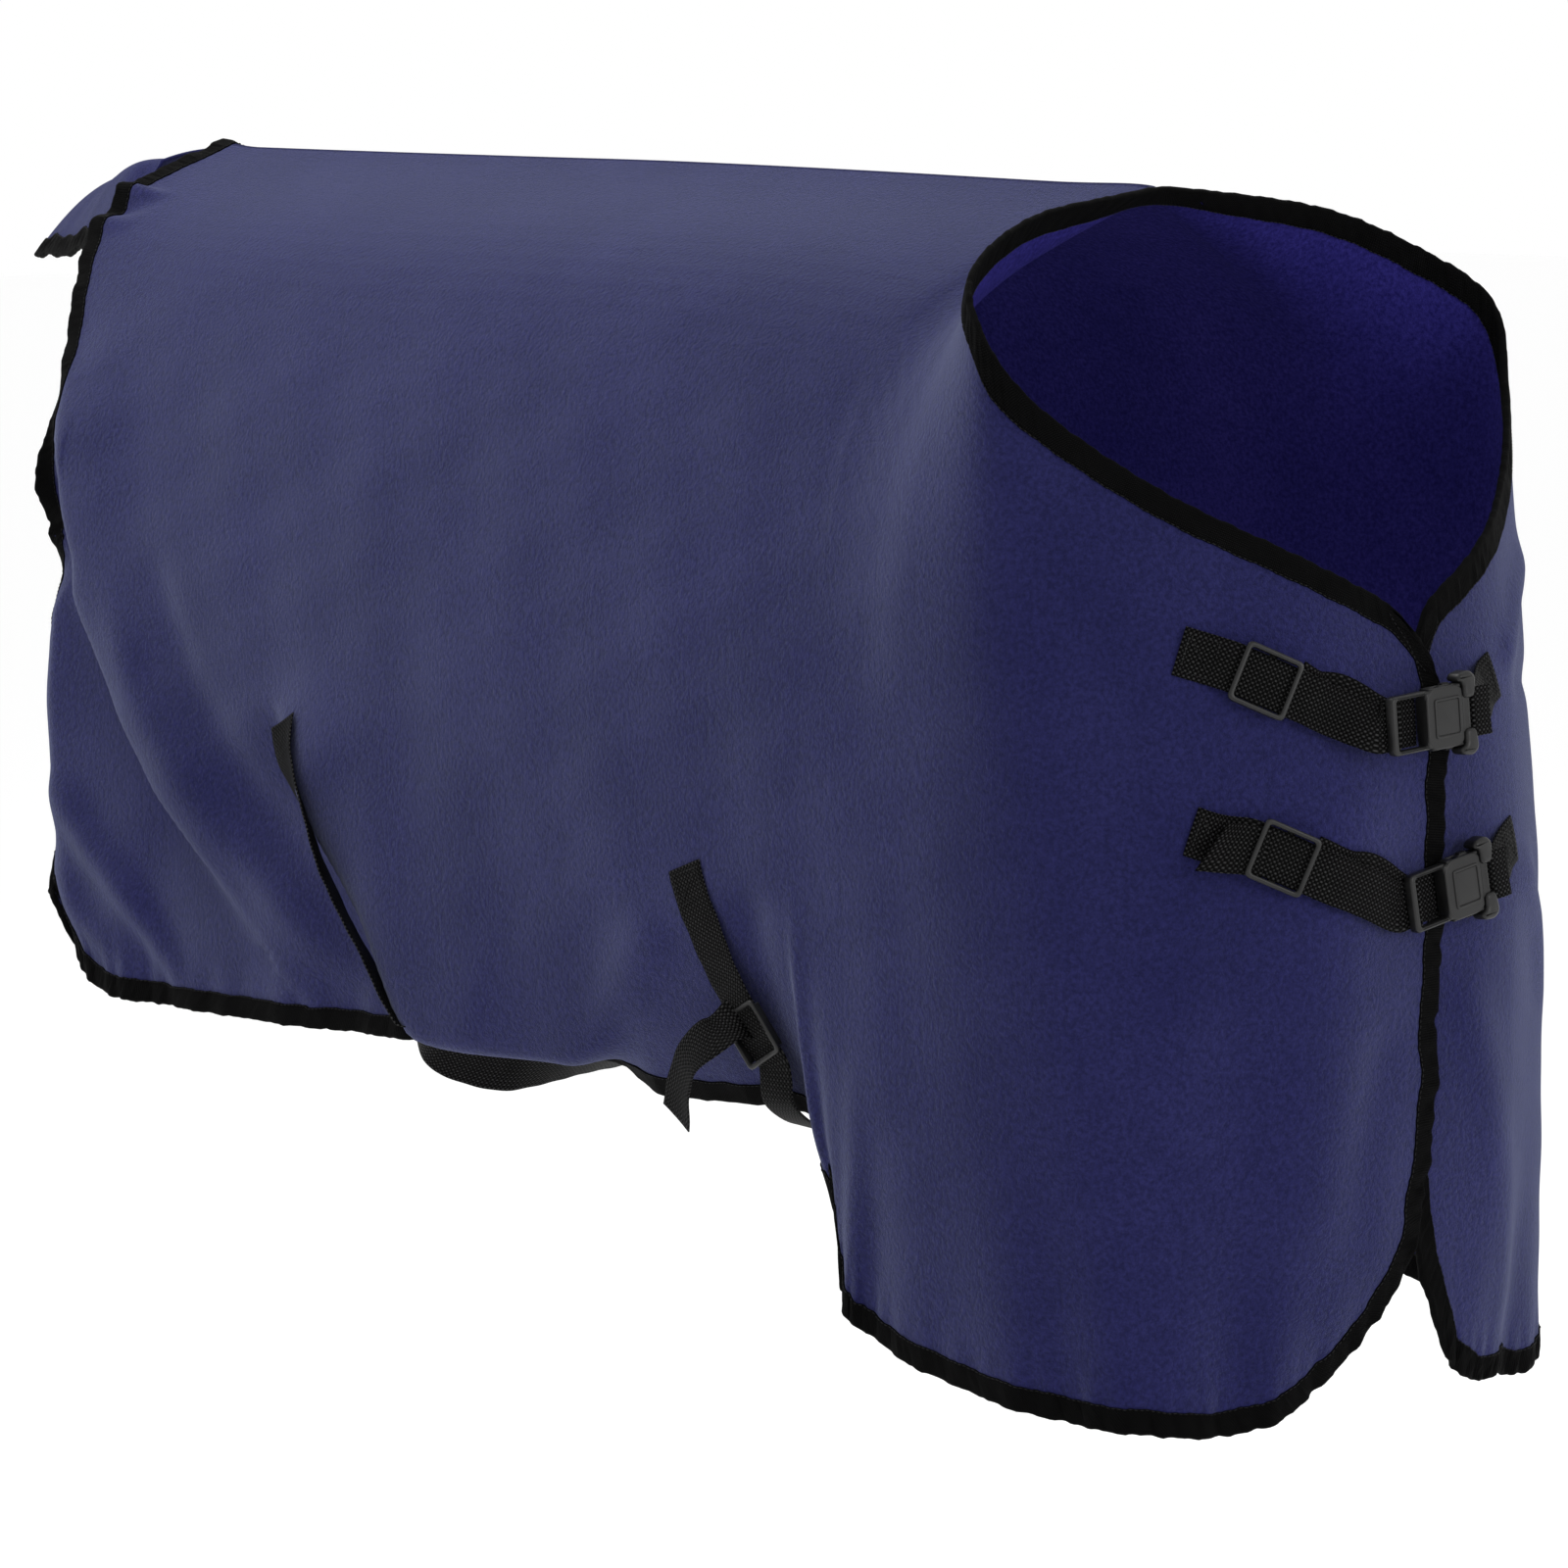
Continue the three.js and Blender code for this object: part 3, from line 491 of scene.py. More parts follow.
def cloth(side, s, u):
    """The folded cloth's middle surface, as surface() but with every fold and the rolled rear edge."""
    s, u = np.asarray(s, float), np.asarray(u, float)
    flat = surface(side, s, u)
    out = outward(side, s, u)
    roll_rear(side, s, u, flat, out)
    spread = s[:, None] + 0 * u
    folded = flat + out * fold_height(side, surface(side, s, u), spread, u)[..., None]
    curled = smooth_step(u, 0.555, 0.63) * (1 - 0.7 * smooth_step(u, 0.84, 1.0))
    folded[..., 0] -= REAR_PUSH[side] * smooth_step(spread, 0.88, 0.97) * curled
    chest = 1 - smooth_step(spread, 0.0, 0.05)
    folded[..., 1] += 2.6 * MM * chest * (np.sin(u * 21 + 1.4 * side) + 0.6 * np.sin(u * 47))
    if side < 0:
        along = folded[..., 0]
        here = smooth_step(along, -0.67, -0.59) * (1 - smooth_step(along, -0.42, -0.32))
        tuck = smooth_step(u, 0.92, 1.0) * here
        folded -= out * (HEM_TUCK * tuck)[..., None]
        folded[..., 2] += HEM_RISE * tuck - HEM_DROP * here * smooth_step(u, 0.55, 0.9)
    return folded


def facing(grid, side):
    """The way a grid of cloth points faces at each of them."""
    over, down = np.gradient(grid, axis=0), np.gradient(grid, axis=1)
    return unit(np.cross(down, over) * side)


# ---- meshes ----

def make_piece(name, verts, faces, material, replaced=(), weave=None, body="rug"):
    mesh = bpy.data.meshes.new(name)
    mesh.from_pydata([tuple(v) for v in verts], [], faces)
    if weave is not None:
        attribute = mesh.attributes.new("weave", "FLOAT_VECTOR", "POINT")
        attribute.data.foreach_set("vector", np.asarray(weave, np.float32).ravel())
    mesh.polygons.foreach_set("use_smooth", [True] * len(mesh.polygons))
    mesh.materials.append(material)
    piece = bpy.data.objects.new(name, mesh)
    bpy.context.scene.collection.objects.link(piece)
    bpy.context.view_layer.update()
    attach(piece, body)
    if replaced:
        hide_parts(*replaced)
    return piece


def tube_faces(around, along):
    """The faces of a closed tube whose points are numbered first round it and then along it."""
    at = np.arange(around * along).reshape(around, along)
    nxt = np.roll(at, -1, axis=0)
    quads = np.stack([at[:, :-1], at[:, 1:], nxt[:, 1:], nxt[:, :-1]], -1).reshape(-1, 4)
    return [*map(tuple, quads), tuple(at[:, 0]), tuple(at[::-1, -1])]


def rim_of(rows, cols):
    """The border of a grid, in order round it."""
    at = np.arange(rows * cols).reshape(rows, cols)
    return [*at[:, 0], *at[-1, 1:], *at[-2::-1, -1], *at[0, -2:0:-1]]


def sheet_mesh(grid, out, thickness):
    """A closed sheet of even thickness about a grid of middle points, with a rounded rim. The
    first half of its quads are on the outer face."""
    rows, cols = grid.shape[:2]
    at = np.arange(rows * cols).reshape(rows, cols)
    quads = np.stack([at[:-1, :-1], at[1:, :-1], at[1:, 1:], at[:-1, 1:]], -1).reshape(-1, 4)
    normal = np.cross(grid[1, 0] - grid[0, 0], grid[0, 1] - grid[0, 0])
    if normal @ out[0, 0] < 0:
        quads = quads[:, ::-1]
    upper = (grid + out * thickness / 2).reshape(-1, 3)
    lower = (grid - out * thickness / 2).reshape(-1, 3)
    rim = rim_of(rows, cols)
    inner = grid.copy()
    inner[0], inner[-1] = grid[1], grid[-2]
    inner[:, 0], inner[:, -1] = grid[:, 1], grid[:, -2]
    middle = grid.reshape(-1, 3)[rim]
    middle = middle + unit(middle - inner.reshape(-1, 3)[rim]) * thickness * 0.35
    verts = np.concatenate([upper, lower, middle])
    n = rows * cols
    faces = [tuple(q) for q in quads] + [tuple(q[::-1] + n) for q in quads]
    for i, a in enumerate(rim):
        j = (i + 1) % len(rim)
        b = rim[j]
        faces.append((a, b, 2 * n + j, 2 * n + i))
        faces.append((2 * n + i, 2 * n + j, n + b, n + a))
    return verts, faces


def round_corner(a, b):
    """Turns the square corner of a unit cell into a round one."""
    x, y = 1 - np.clip(a, 0, 1), 1 - np.clip(b, 0, 1)
    inside = (a < 1) & (b < 1)
    ra = np.where(inside, 1 - x * np.sqrt(1 - y * y / 2), a)
    rb = np.where(inside, 1 - y * np.sqrt(1 - x * x / 2), b)
    return ra, rb


FRONT_CORNER = (0.035, 0.075)    # the share of the hem and of the edge that a corner rounds off
REAR_CORNER = (0.03, 0.052)
NECK_CORNER = (0.03, 0.105)


def rounded(s, u):
    """Moves (s, u) so that the corners are round. s and u have the same shape."""
    for flip, (ds, du) in ((False, FRONT_CORNER), (True, REAR_CORNER)):
        a, b = round_corner((1 - s if flip else s) / ds, (1 - u) / du)
        s = 1 - a * ds if flip else a * ds
        u = 1 - b * du
    ds, du = NECK_CORNER
    a, b = round_corner(s / ds, u / du)
    return a * ds, b * du


def cloth_at(side, s, u):
    """cloth() where s is given for every point too. Rows that share one s stay whole."""
    s, u = np.broadcast_arrays(s, u)
    rs, ru = rounded(s, u)
    result = cloth(side, s[:, 0], ru)
    moved = np.abs(rs - s[:, :1]) > 1e-6
    i, j = np.nonzero(moved)
    if len(i):
        result[i, j] = cloth(side, rs[i, j], ru[i, j][:, None])[:, 0]
    return result


def panel(side, hand):
    """One half of the rug in fleece, running under its bindings almost to the edge."""
    s = np.linspace(0.003, 0.997, 320)
    front_cut = np.where(s < WITHERS, 0.003, 0.0)[:, None]
    u = front_cut + np.linspace(0, 1, 200) * (0.997 - front_cut)
    grid = cloth_at(side, s[:, None], u)
    seam = s > WITHERS
    grid[seam, 0, 1] = side * 0.2 * MM
    verts, faces = sheet_mesh(grid, facing(grid, side), CLOTH)
    piece = make_piece(f"{hand}_panel_fleece", verts, faces, FLEECE, [f"{hand}_side_panel"])
    # the inner faces take a copy of the fleece with no sheen and a deeper blue: painted shade for the inside
    # of the rug
    piece.data.materials.append(FLEECE_INSIDE_SHADED)
    quads = (len(s) - 1) * (u.shape[1] - 1)
    inside = np.zeros(len(faces), int)
    inside[quads:2 * quads] = 1
    piece.data.polygons.foreach_set("material_index", inside)


# ---- binding tape ----

TAPE_ROWS = 6


def tape_strip(grid):
    """Points at even distances in from an edge. grid is (inward, along, 3) and starts at the edge;
    the distance counts square to the edge."""
    along = unit(np.gradient(grid[0], axis=0))
    steps = np.diff(grid, axis=0)
    square = np.linalg.norm(steps - (steps * along).sum(-1, keepdims=True) * along, axis=-1)
    marks = np.concatenate([np.zeros((1, grid.shape[1])), np.cumsum(square, axis=0)])
    wanted = np.linspace(0, TAPE_WIDTH, TAPE_ROWS)
    return np.stack([places_on(grid[:, i], marks[:, i], wanted) for i in range(grid.shape[1])], 1)


def tape(name, strip, replaced, seed, body="rug"):
    """Binding tape folded over the edge that the strip starts at, with the small puckers that its
    stitching pulls into it."""
    k, n = strip.shape[:2]
    along = unit(np.gradient(strip, axis=1))
    inward = unit(np.gradient(strip, axis=0))
    out = unit(np.cross(along, inward))
    marks = run_along(strip[0])
    q = marks[None] * np.ones((k, 1))
    across = np.linspace(0, 1, k)[:, None] * np.ones((1, n))
    pucker = (np.sin(q * 640 + seed) + 0.7 * np.sin(q * 1010 + 2 * seed + 2 * across)
              + 0.8 * np.sin(q * 330 + 3 * seed + 3 * across)) * 0.36 * MM
    swell = CLOTH / 2 + TAPE + pucker * (0.4 + np.sin(across * math.pi))
    inner = np.full((k, n), CLOTH / 2 - 0.2 * MM)
    edge_push = (0.9 + 0.5 * np.sin(marks * 190 + seed) + 0.45 * np.sin(marks * 410 + 2 * seed)) * MM
    margin = (0.5 * np.sin(marks * 150 + seed) + 0.4 * np.sin(marks * 520)) * MM
    points = strip + inward * (np.linspace(0, 1, k)[:, None] * margin)[..., None]
    points = points - inward * (np.linspace(1, 0, k)[:, None] ** 2 * edge_push)[..., None]

    def half(height, sign, order):
        return [points[j] + sign * out[j] * height[j][:, None] for j in order]

    def turn(height, angles):
        over, back = out[0] * height[0][:, None], inward[0] * height[0][:, None]
        return [points[0] + over * math.cos(a) - back * math.sin(a) for a in angles]

    down, up = range(k - 1, -1, -1), range(k)
    bends = [math.pi * f for f in (0.18, 0.36, 0.5, 0.64, 0.82)]
    section = [*half(swell, 1, down), *turn(swell, bends), *half(swell, -1, up),
               *half(inner, -1, down), *turn(inner, bends[::-1]), *half(inner, 1, up)]
    loop = np.stack(section)
    m = len(section)
    faces = tube_faces(m, n)
    place = run_along(loop[:, n // 2])
    weave = np.zeros((m, n, 3))
    weave[..., 0], weave[..., 1] = marks[None], place[:, None]
    make_piece(name, loop.reshape(-1, 3), faces, TAPE_LOOK, replaced,
               weave.reshape(-1, 3), body)
    row = points[k - 1] * 0.82 + points[k - 2] * 0.18
    for sign, face in ((1, "outer"), (-1, "inner")):
        line = row + sign * out[k - 1] * (CLOTH / 2 + TAPE + 0.15 * MM)
        stitches(f"{name}_{face}_stitches", line, out[k - 1] * sign, body)


STITCH, STITCH_PITCH, THREAD_RADIUS = 3.2 * MM, 4.6 * MM, 0.35 * MM


def stitches(name, line, out, body="rug"):
    """A row of lock stitches along a line on a surface."""
    marks = run_along(line)
    starts = np.arange(2 * MM, marks[-1] - STITCH, STITCH_PITCH)
    verts, faces = [], []
    # [how far along the stitch, how far it lifts, how wide it is], as shares
    shape = [(0, -0.6, 0), (0.2, 0.7, 0.9), (0.5, 1.0, 1.0), (0.8, 0.7, 0.9), (1, -0.6, 0)]
    sides = 5
    for start in starts:
        base = len(verts)
        for share, lift, wide in shape:
            t = start + share * STITCH
            p, o = places_on(line, marks, t), unit(places_on(out, marks, t))
            ahead = unit(places_on(line, marks, t + MM) - p + 1e-9)
            cross = np.cross(ahead, o)
            ring = THREAD_RADIUS * (0.25 + 0.75 * wide)
            for i in range(sides):
                a = 2 * math.pi * i / sides
                height = lift * THREAD_RADIUS * 0.6 + ring * math.sin(a)
                verts.append(p + o * height + cross * ring * math.cos(a))
        for r in range(len(shape) - 1):
            for i in range(sides):
                j = (i + 1) % sides
                low, high = base + r * sides, base + (r + 1) * sides
                faces.append((low + i, low + j, high + j, high + i))
        faces.append(tuple(base + i for i in range(sides))[::-1])
        faces.append(tuple(base + (len(shape) - 1) * sides + i for i in range(sides)))
    make_piece(name, verts, faces, THREAD, body=body)


CROUP_U = 0.19                # where the rear edge turns from the croup down the side


def edge_tape(side, hand):
    """One length of tape down the chest edge, along the hem and up the rear edge."""
    depth = np.linspace(0, 1, 14)[:, None]
    ds, du = 0.026 * depth, 0.062 * depth
    down = np.linspace(0, 1, 150)[None, :-1]
    over = np.linspace(0, 1, 420)[None, :-1]
    up = np.linspace(0, 1, 190)[None]
    s = np.concatenate([ds + 0 * down, ds + over * (1 - 2 * ds), 1 - ds + 0 * up], 1)
    climb = (1 - du) * (1 - up) + up * (CROUP_U - 0.01)
    u = np.concatenate([down * (1 - du), 1 - du + 0 * over, climb], 1)
    rs, ru = rounded(s, u)
    grid = cloth(side, rs.ravel(), ru.ravel()[:, None])[:, 0].reshape(s.shape + (3,))
    strip = tape_strip(grid)
    if side > 0:
        strip = strip[:, ::-1]
    replaced = [f"{hand}_{part}_binding" for part in ("front", "hem", "rear")]
    tape(f"{hand}_edge_tape", strip, replaced, 1.0 + side * 0.4)


def neck_tape():
    depth = np.linspace(0, 1, 16)[None, :] ** 1.3
    s = np.linspace(0, WITHERS - 0.0015, 200)
    reach = np.interp(s, [0, 0.8 * WITHERS, WITHERS], [0.07, 0.14, 0.3])[:, None]
    halves = []
    for side in (-1, 1):
        grid = cloth_at(side, s[:, None], depth * reach).transpose(1, 0, 2)
        halves.append(tape_strip(grid))
    middle = np.zeros((TAPE_ROWS, 1, 3))
    middle[:, 0, 0] = -np.linspace(0, TAPE_WIDTH, TAPE_ROWS)
    middle[:, 0, 2] = np.linspace(0, 1 * MM, TAPE_ROWS)
    ends = slice(0, -4)
    strip = np.concatenate([halves[0][:, ends], middle, halves[1][:, ends][:, ::-1]], 1)
    smooth = strip.copy()
    centre = halves[0].shape[1] - 4
    for _ in range(6):
        lo, hi = centre - 8, centre + 9
        smooth[:, lo:hi] = (smooth[:, lo - 1:hi - 1] + 2 * smooth[:, lo:hi] + smooth[:, lo + 1:hi + 1]) / 4
    tape("neck_tape", smooth[:, ::-1], ["neck_binding"], 2.3)


def croup_tape():
    depth = np.linspace(0, 1, 12)
    u = np.linspace(0, CROUP_U, 60)
    halves = [tape_strip(cloth(side, 1 - 0.04 * depth, u[None] * np.ones((12, 1)))) for side in (-1, 1)]
    for half in halves:
        half[:, 0, 1] = 0
    strip = np.concatenate([halves[0][:, :0:-1], halves[1]], 1)
    tape("croup_tape", strip, ["croup_binding"], 0.7)


# ---- tail flap ----

FLAP_EDGE = [[-1340, -112, -150], [-1400, -72, -88], [-1520, -20, -94], [-1636, 30, -99]]   # mm


def flap_grid(rows, cols, high=1.0):
    """The flap from its root (first row) towards its free edge, with its sag and crimps."""
    edge = catmull(np.array(FLAP_EDGE) * MM, np.linspace(0, 3, 97))
    marks = run_along(edge)
    a = np.linspace(0, 1, cols)
    free_edge = places_on(edge, marks, a * marks[-1])
    y = 0.07 * (2 * a - 1)
    root = np.stack([np.full(cols, -1.283), y, 0.013 - y * y * 2.0], -1)
    b = np.linspace(0.0, high, rows)[:, None]
    grid = root + (free_edge - root) * b[..., None]
    grid[..., 2] += 42 * MM * np.sin(math.pi * b ** 1.6) + 0 * a
    grid[..., 2] += 1.3 * MM * b ** 2 * np.sin(a * 31 + 1) + 1.2 * MM * b * np.sin(a * 14 + 9 * b)
    return grid


def tail_flap():
    grid = flap_grid(46, 60, 0.985)
    out = unit(np.cross(np.gradient(grid, axis=0), np.gradient(grid, axis=1)))
    if out[..., 2].mean() < 0:
        out = -out
    verts, faces = sheet_mesh(grid, out, CLOTH)
    # the flap uses a copy of the fleece with less sheen: painted shade, so its upturned face reads darker
    # than the light makes it
    piece = make_piece("tail_flap_fleece", verts, faces, FLEECE_FLAP_SHADED, ["tail_flap"],
                       body="tail_flap")
    whole = flap_grid(60, 90)
    tape("tail_flap_tape", tape_strip(whole[::-1])[:, ::-1], ["tail_flap_binding"], 1.9, "tail_flap")


# ---- webbing ----

def find_place(side, wanted, s_range):
    """(s, u) where the plain surface passes the given coordinates, e.g. {0: x, 2: z}."""
    s_low, s_high = s_range
    u_low, u_high = 0.0, 1.0
    for _ in range(7):
        s, u = np.linspace(s_low, s_high, 15), np.linspace(u_low, u_high, 15)
        points = surface(side, s, u[None] * np.ones((15, 1)))
        miss = sum((points[..., axis] - value) ** 2 for axis, value in wanted.items())
        i, j = np.unravel_index(miss.argmin(), miss.shape)
        s_step, u_step = (s_high - s_low) / 7, (u_high - u_low) / 7
        s_low, s_high = max(s[i] - s_step, s_range[0]), min(s[i] + s_step, s_range[1])
        u_low, u_high = max(u[j] - u_step, 0), min(u[j] + u_step, 1)
    return s[i], u[j]


def on_cloth(side, wanted, s_range, lift, folded=True):
    """(point, facing) over the cloth at the given lift in mm."""
    s, u = find_place(side, {axis: value * MM for axis, value in wanted.items()}, s_range)
    s, u = np.array([s]), np.array([[u]])
    p, out = surface(side, s, u), outward(side, s, u)
    if folded:
        p = p + out * fold_height(side, p, s[:, None], u)[..., None]
    return p[0, 0] + out[0, 0] * lift * MM, out[0, 0]


def on_chest(y, z, lift, folded=True):
    return on_cloth(-1 if y < 8 else 1, {1: y, 2: z}, (0, 3.2 / LAST), lift, folded)


def on_side(side, x, z, lift, folded=True):
    return on_cloth(side, {0: x, 2: z}, (WITHERS, 1), lift, folded)


def free(x, y, z, *out):
    """(point, facing) of webbing in the open, in mm."""
    return np.array([x, y, z]) * MM, unit(np.array(out, float))


def frame_at(guide, toward):
    """A frame as a 4 x 4: x along the strap, z out of the cloth."""
    z = unit(guide[1])
    x = toward - guide[0]
    x = unit(x - (x @ z) * z)
    matrix = np.eye(4)
    matrix[:3, 0], matrix[:3, 1], matrix[:3, 2], matrix[:3, 3] = x, np.cross(z, x), z, guide[0]
    return matrix


def in_frame(matrix, x, y, z, face=(0, 0, 1)):
    """(point, facing) given in a buckle's or slide's own frame, in mm."""
    turned = matrix[:3, :3]
    return turned @ (np.array([x, y, z]) * MM) + matrix[:3, 3], turned @ unit(np.array(face, float))


def round_bar(matrix, reach, turn, layer=5.0, bulge=3.4):
    """A strap's turn round a buckle's bar: under it, round it and back above it."""
    spots = [(14, -layer, 0, 1), (5, -layer, 0, 1), (-bulge / 2, -bulge, 0.8, 1), (-bulge, 0, 1, 0),
             (-bulge / 2, bulge, 0.8, -1), (5, layer, 0, -1), (16, layer + 0.6, 0, -1)]
    return [in_frame(matrix, reach + x * turn, 0, z, (face * turn, 0, up)) for x, z, face, up in spots]


def smooth_path(points, step=2.5 * MM):
    """A centripetal curve through the points, with the guide number at each of its places."""
    p = carried_on(points)
    places, marks = [], []
    for k in range(len(points) - 1):
        a, b, c, d = p[k:k + 4]
        t0, t1, t2 = (max(np.linalg.norm(q - r), 1e-6) ** 0.5 for q, r in ((b, a), (c, b), (d, c)))
        m0 = ((b - a) / t0 - (c - a) / (t0 + t1) + (c - b) / t1) * t1
        m1 = ((c - b) / t1 - (d - b) / (t1 + t2) + (d - c) / t2) * t1
        count = max(3, int(np.linalg.norm(c - b) / step))
        for f in np.arange(count) / count:
            places.append(bend(f, b, c, m0, m1))
            marks.append(k + f)
    return np.array(places + [points[-1]]), np.array(marks + [len(points) - 1])


def webbing(name, guides, replaced=(), cup=0.0, cut=0.0):
    """A length of webbing through (point, facing) guides. cup bends its edges off the cloth, in mm;
    cut slants its last end, in mm."""
    path, marks = smooth_path(np.array([g[0] for g in guides]))
    facings = np.array([g[1] for g in guides])
    out = places_on(facings, np.arange(len(guides)), marks)
    for _ in range(3):
        out[1:-1] = (out[:-2] + 2 * out[1:-1] + out[2:]) / 4
    along = unit(np.gradient(path, axis=0))
    out = unit(out - (out * along).sum(-1, keepdims=True) * along)
    across = np.cross(along, out)
    run = run_along(path)
    places = np.concatenate([[-1], np.linspace(-0.97, 0.97, 13), [1]])
    half, thick = WEBBING / 2, WEBBING_THICK / 2
    wobble = 0.35 * MM * (np.sin(run * 90 + len(guides)) + np.sin(run * 210))
    rows = []
    for sign, order in ((1, places), (-1, places[::-1])):
        for f in order:
            height = sign * thick * (0.35 if abs(f) == 1 else 1) + cup * MM * f * f
            slant = np.clip((run - run[-1] + 0.03) / 0.03, 0, 1) * cut * MM * f
            rows.append(path + across * (f * half + 0.3 * wobble)[..., None] + out * height
                        + along * slant[..., None] + out * (wobble * (0.3 + f * f))[..., None] * 0.5)
    loop = np.stack(rows)
    m, n = loop.shape[:2]
    faces = tube_faces(m, n)
    weave = np.zeros((m, n, 3))
    weave[..., 0] = run[None]
    weave[..., 1] = np.concatenate([places, places[::-1]])[:, None] * half
    make_piece(name, loop.reshape(-1, 3), faces, WEB_LOOK, replaced, weave.reshape(-1, 3))
    return path, out, across, run


def sewn_box(name, laid, size=30):
    """The box of stitches, size mm long, that holds the first end of a laid strap."""
    path, out, across, run = laid
    corners = [(5, -15), (size, -15), (size, 15), (5, 15), (5, -15), (size, 15)]
    line, facings = [], []
    for (a, b), (c, d) in zip(corners, corners[1:]):
        for f in np.linspace(0, 1, 12)[:-1]:
            at = (a + (c - a) * f) * MM
            base, over, up = (places_on(each, run, at) for each in (path, across, out))
            line.append(base + over * (b + (d - b) * f) * MM + up * (WEBBING_THICK / 2 + 0.1 * MM))
            facings.append(up)
    stitches(name, np.array(line), np.array(facings))


# ---- moulded plastic, in a buckle's own frame: x along the strap, y across it, z facing out ----

class Moulding:
    """Rounded solids gathered into one piece, in mm."""

    def __init__(self):
        self.verts, self.faces = [], []

    def loops(self, levels, closed=False):
        """Joins levels of points, either capped or, when closed, back round to the first."""
        base, n = len(self.verts), len(levels[0])
        for points in levels:
            self.verts.extend(points)
        count = len(levels)
        for k in range(count if closed else count - 1):
            for i in range(n):
                j, up = (i + 1) % n, (k + 1) % count
                low, high = base + k * n, base + up * n
                self.faces.append((low + i, low + j, high + j, high + i))
        if not closed:
            self.faces.append(tuple(base + i for i in range(n))[::-1])
            self.faces.append(tuple(base + (count - 1) * n + i for i in range(n)))

    def slab(self, points, z0, z1, bevel, radius=2.0):
        """A plate with this outline between two heights."""
        loop = filleted(points, radius)
        self.loops(bevelled(loop, bevel, z0, 1, 5, True) + bevelled(loop, bevel, z1, -1, 5, False))

    def ring(self, outer, inner, z0, z1, bevel):
        """A frame between two rounded rectangles [x0, x1, half width, corner radius]."""
        a, b = (filleted(box(x0, x1, -half, half), radius) for x0, x1, half, radius in (outer, inner))
        levels = bevelled(a, bevel, z0, 1, 4, True) + bevelled(a, bevel, z1, -1, 4, False)
        levels += bevelled(b, -bevel, z1, -1, 4, True) + bevelled(b, -bevel, z0, 1, 4, False)
        self.loops(levels, closed=True)

    def piece(self, name, frame_matrix, replaced, body="rug"):
        placed = np.array(self.verts) * MM @ frame_matrix[:3, :3].T + frame_matrix[:3, 3]
        make_piece(name, placed, self.faces, PLASTIC, replaced, body=body)


def box(x0, x1, y0, y1):
    return [(x0, y0), (x1, y0), (x1, y1), (x0, y1)]


def filleted(points, radius, count=5):
    """The outline with every corner rounded."""
    p = np.array(points, float)
    result = []
    for i in range(len(p)):
        before, here, after = p[i - 1], p[i], p[(i + 1) % len(p)]
        r = min(radius, np.linalg.norm(before - here) * 0.48, np.linalg.norm(after - here) * 0.48)
        a, b = here + unit(before - here) * r, here + unit(after - here) * r
        for t in np.linspace(0, 1, count):
            result.append((1 - t) ** 2 * a + 2 * t * (1 - t) * here + t * t * b)
    return np.array(result)


def inset(loop, distance):
    side = unit(np.roll(loop, -1, axis=0) - np.roll(loop, 1, axis=0))
    normal = np.stack([-side[:, 1], side[:, 0]], -1)
    area = (loop[:, 0] * np.roll(loop[:, 1], -1) - loop[:, 1] * np.roll(loop[:, 0], -1)).sum()
    return loop + normal * distance * (1 if area > 0 else -1)


def bevelled(loop, bevel, z, up, count, onward):
    """Levels that round an outline's edge: onward from the inset face at z out to the full side,
    or back from the side to the face. up is 1 for a lower face and -1 for an upper one."""
    levels = []
    for a in np.linspace(0, math.pi / 2, count):
        across, high = 1 - math.sin(a), 1 - math.cos(a)
        if not onward:
            across, high = high, across
        heights = np.full((len(loop), 1), z + up * abs(bevel) * high)
        levels.append(np.concatenate([inset(loop, bevel * across), heights], 1))
    return levels


FEMALE_END, FEMALE_BAR = -58, -52
MALE_END, MALE_BAR = 46, 41.5


def female_moulding():
    """The open webbing frame, the shell's two plates and their walls, and the raised plain panel."""
    m = Moulding()
    m.ring((FEMALE_END, -12, 23.6, 5), (FEMALE_BAR, -18.5, 20, 2.5), -4.4, 4.4, 2.0)
    for sign in (1, -1):
        low, high = sorted((3.3 * sign, 6.6 * sign))
        m.slab([(-19, -18), (-12, -24.8), (18, -24.8), (24.5, -21),
                (24.5, 21), (18, 24.8), (-12, 24.8), (-19, 18)], low, high, 1.5, 3)
    m.slab([(-19, -22), (-11, -24), (-11, 24), (-19, 22)], -6.2, 6.2, 2.2, 2)
    for sign in (1, -1):
        for x0, x1 in ((-14, -5.5), (15.5, 24)):
            m.slab(box(x0, x1, 20.8 * sign, 25 * sign), -5.8, 5.8, 1.5, 1)
    m.ring((-10.5, 21, 16, 3), (-8.4, 18.9, 13.9, 2), 5.8, 7.6, 0.7)
    m.slab(box(-8, 18.4, -13.4, 13.4), 5.8, 7.0, 0.35, 1.2)
    return m


def male_moulding():
    """The centre guide, the webbing frame and the two thumb lobes."""
    m = Moulding()
    m.slab([(-8, -4.2), (24.5, -5.5), (26, -8), (26, 8), (24.5, 5.5), (-8, 4.2)], -2.6, 2.6, 0.9, 2)
    m.ring((30, MALE_END, 22.5, 4), (34, MALE_BAR, 20, 2), -3.4, 3.4, 1.5)
    m.slab([(25, -16), (28, -24), (35, -24.5), (35, 24.5), (28, 24), (25, 16)], -5.4, 5.4, 2.2, 4)
    for sign in (1, -1):
        m.slab([(25.5, 12 * sign), (38.5, 12 * sign), (41, 29 * sign), (34, 34.5 * sign), (21, 32.5 * sign),
                (18.5, 27 * sign), (26, 25 * sign)], -6.2, 8.6, 3.4, 5)
    return m


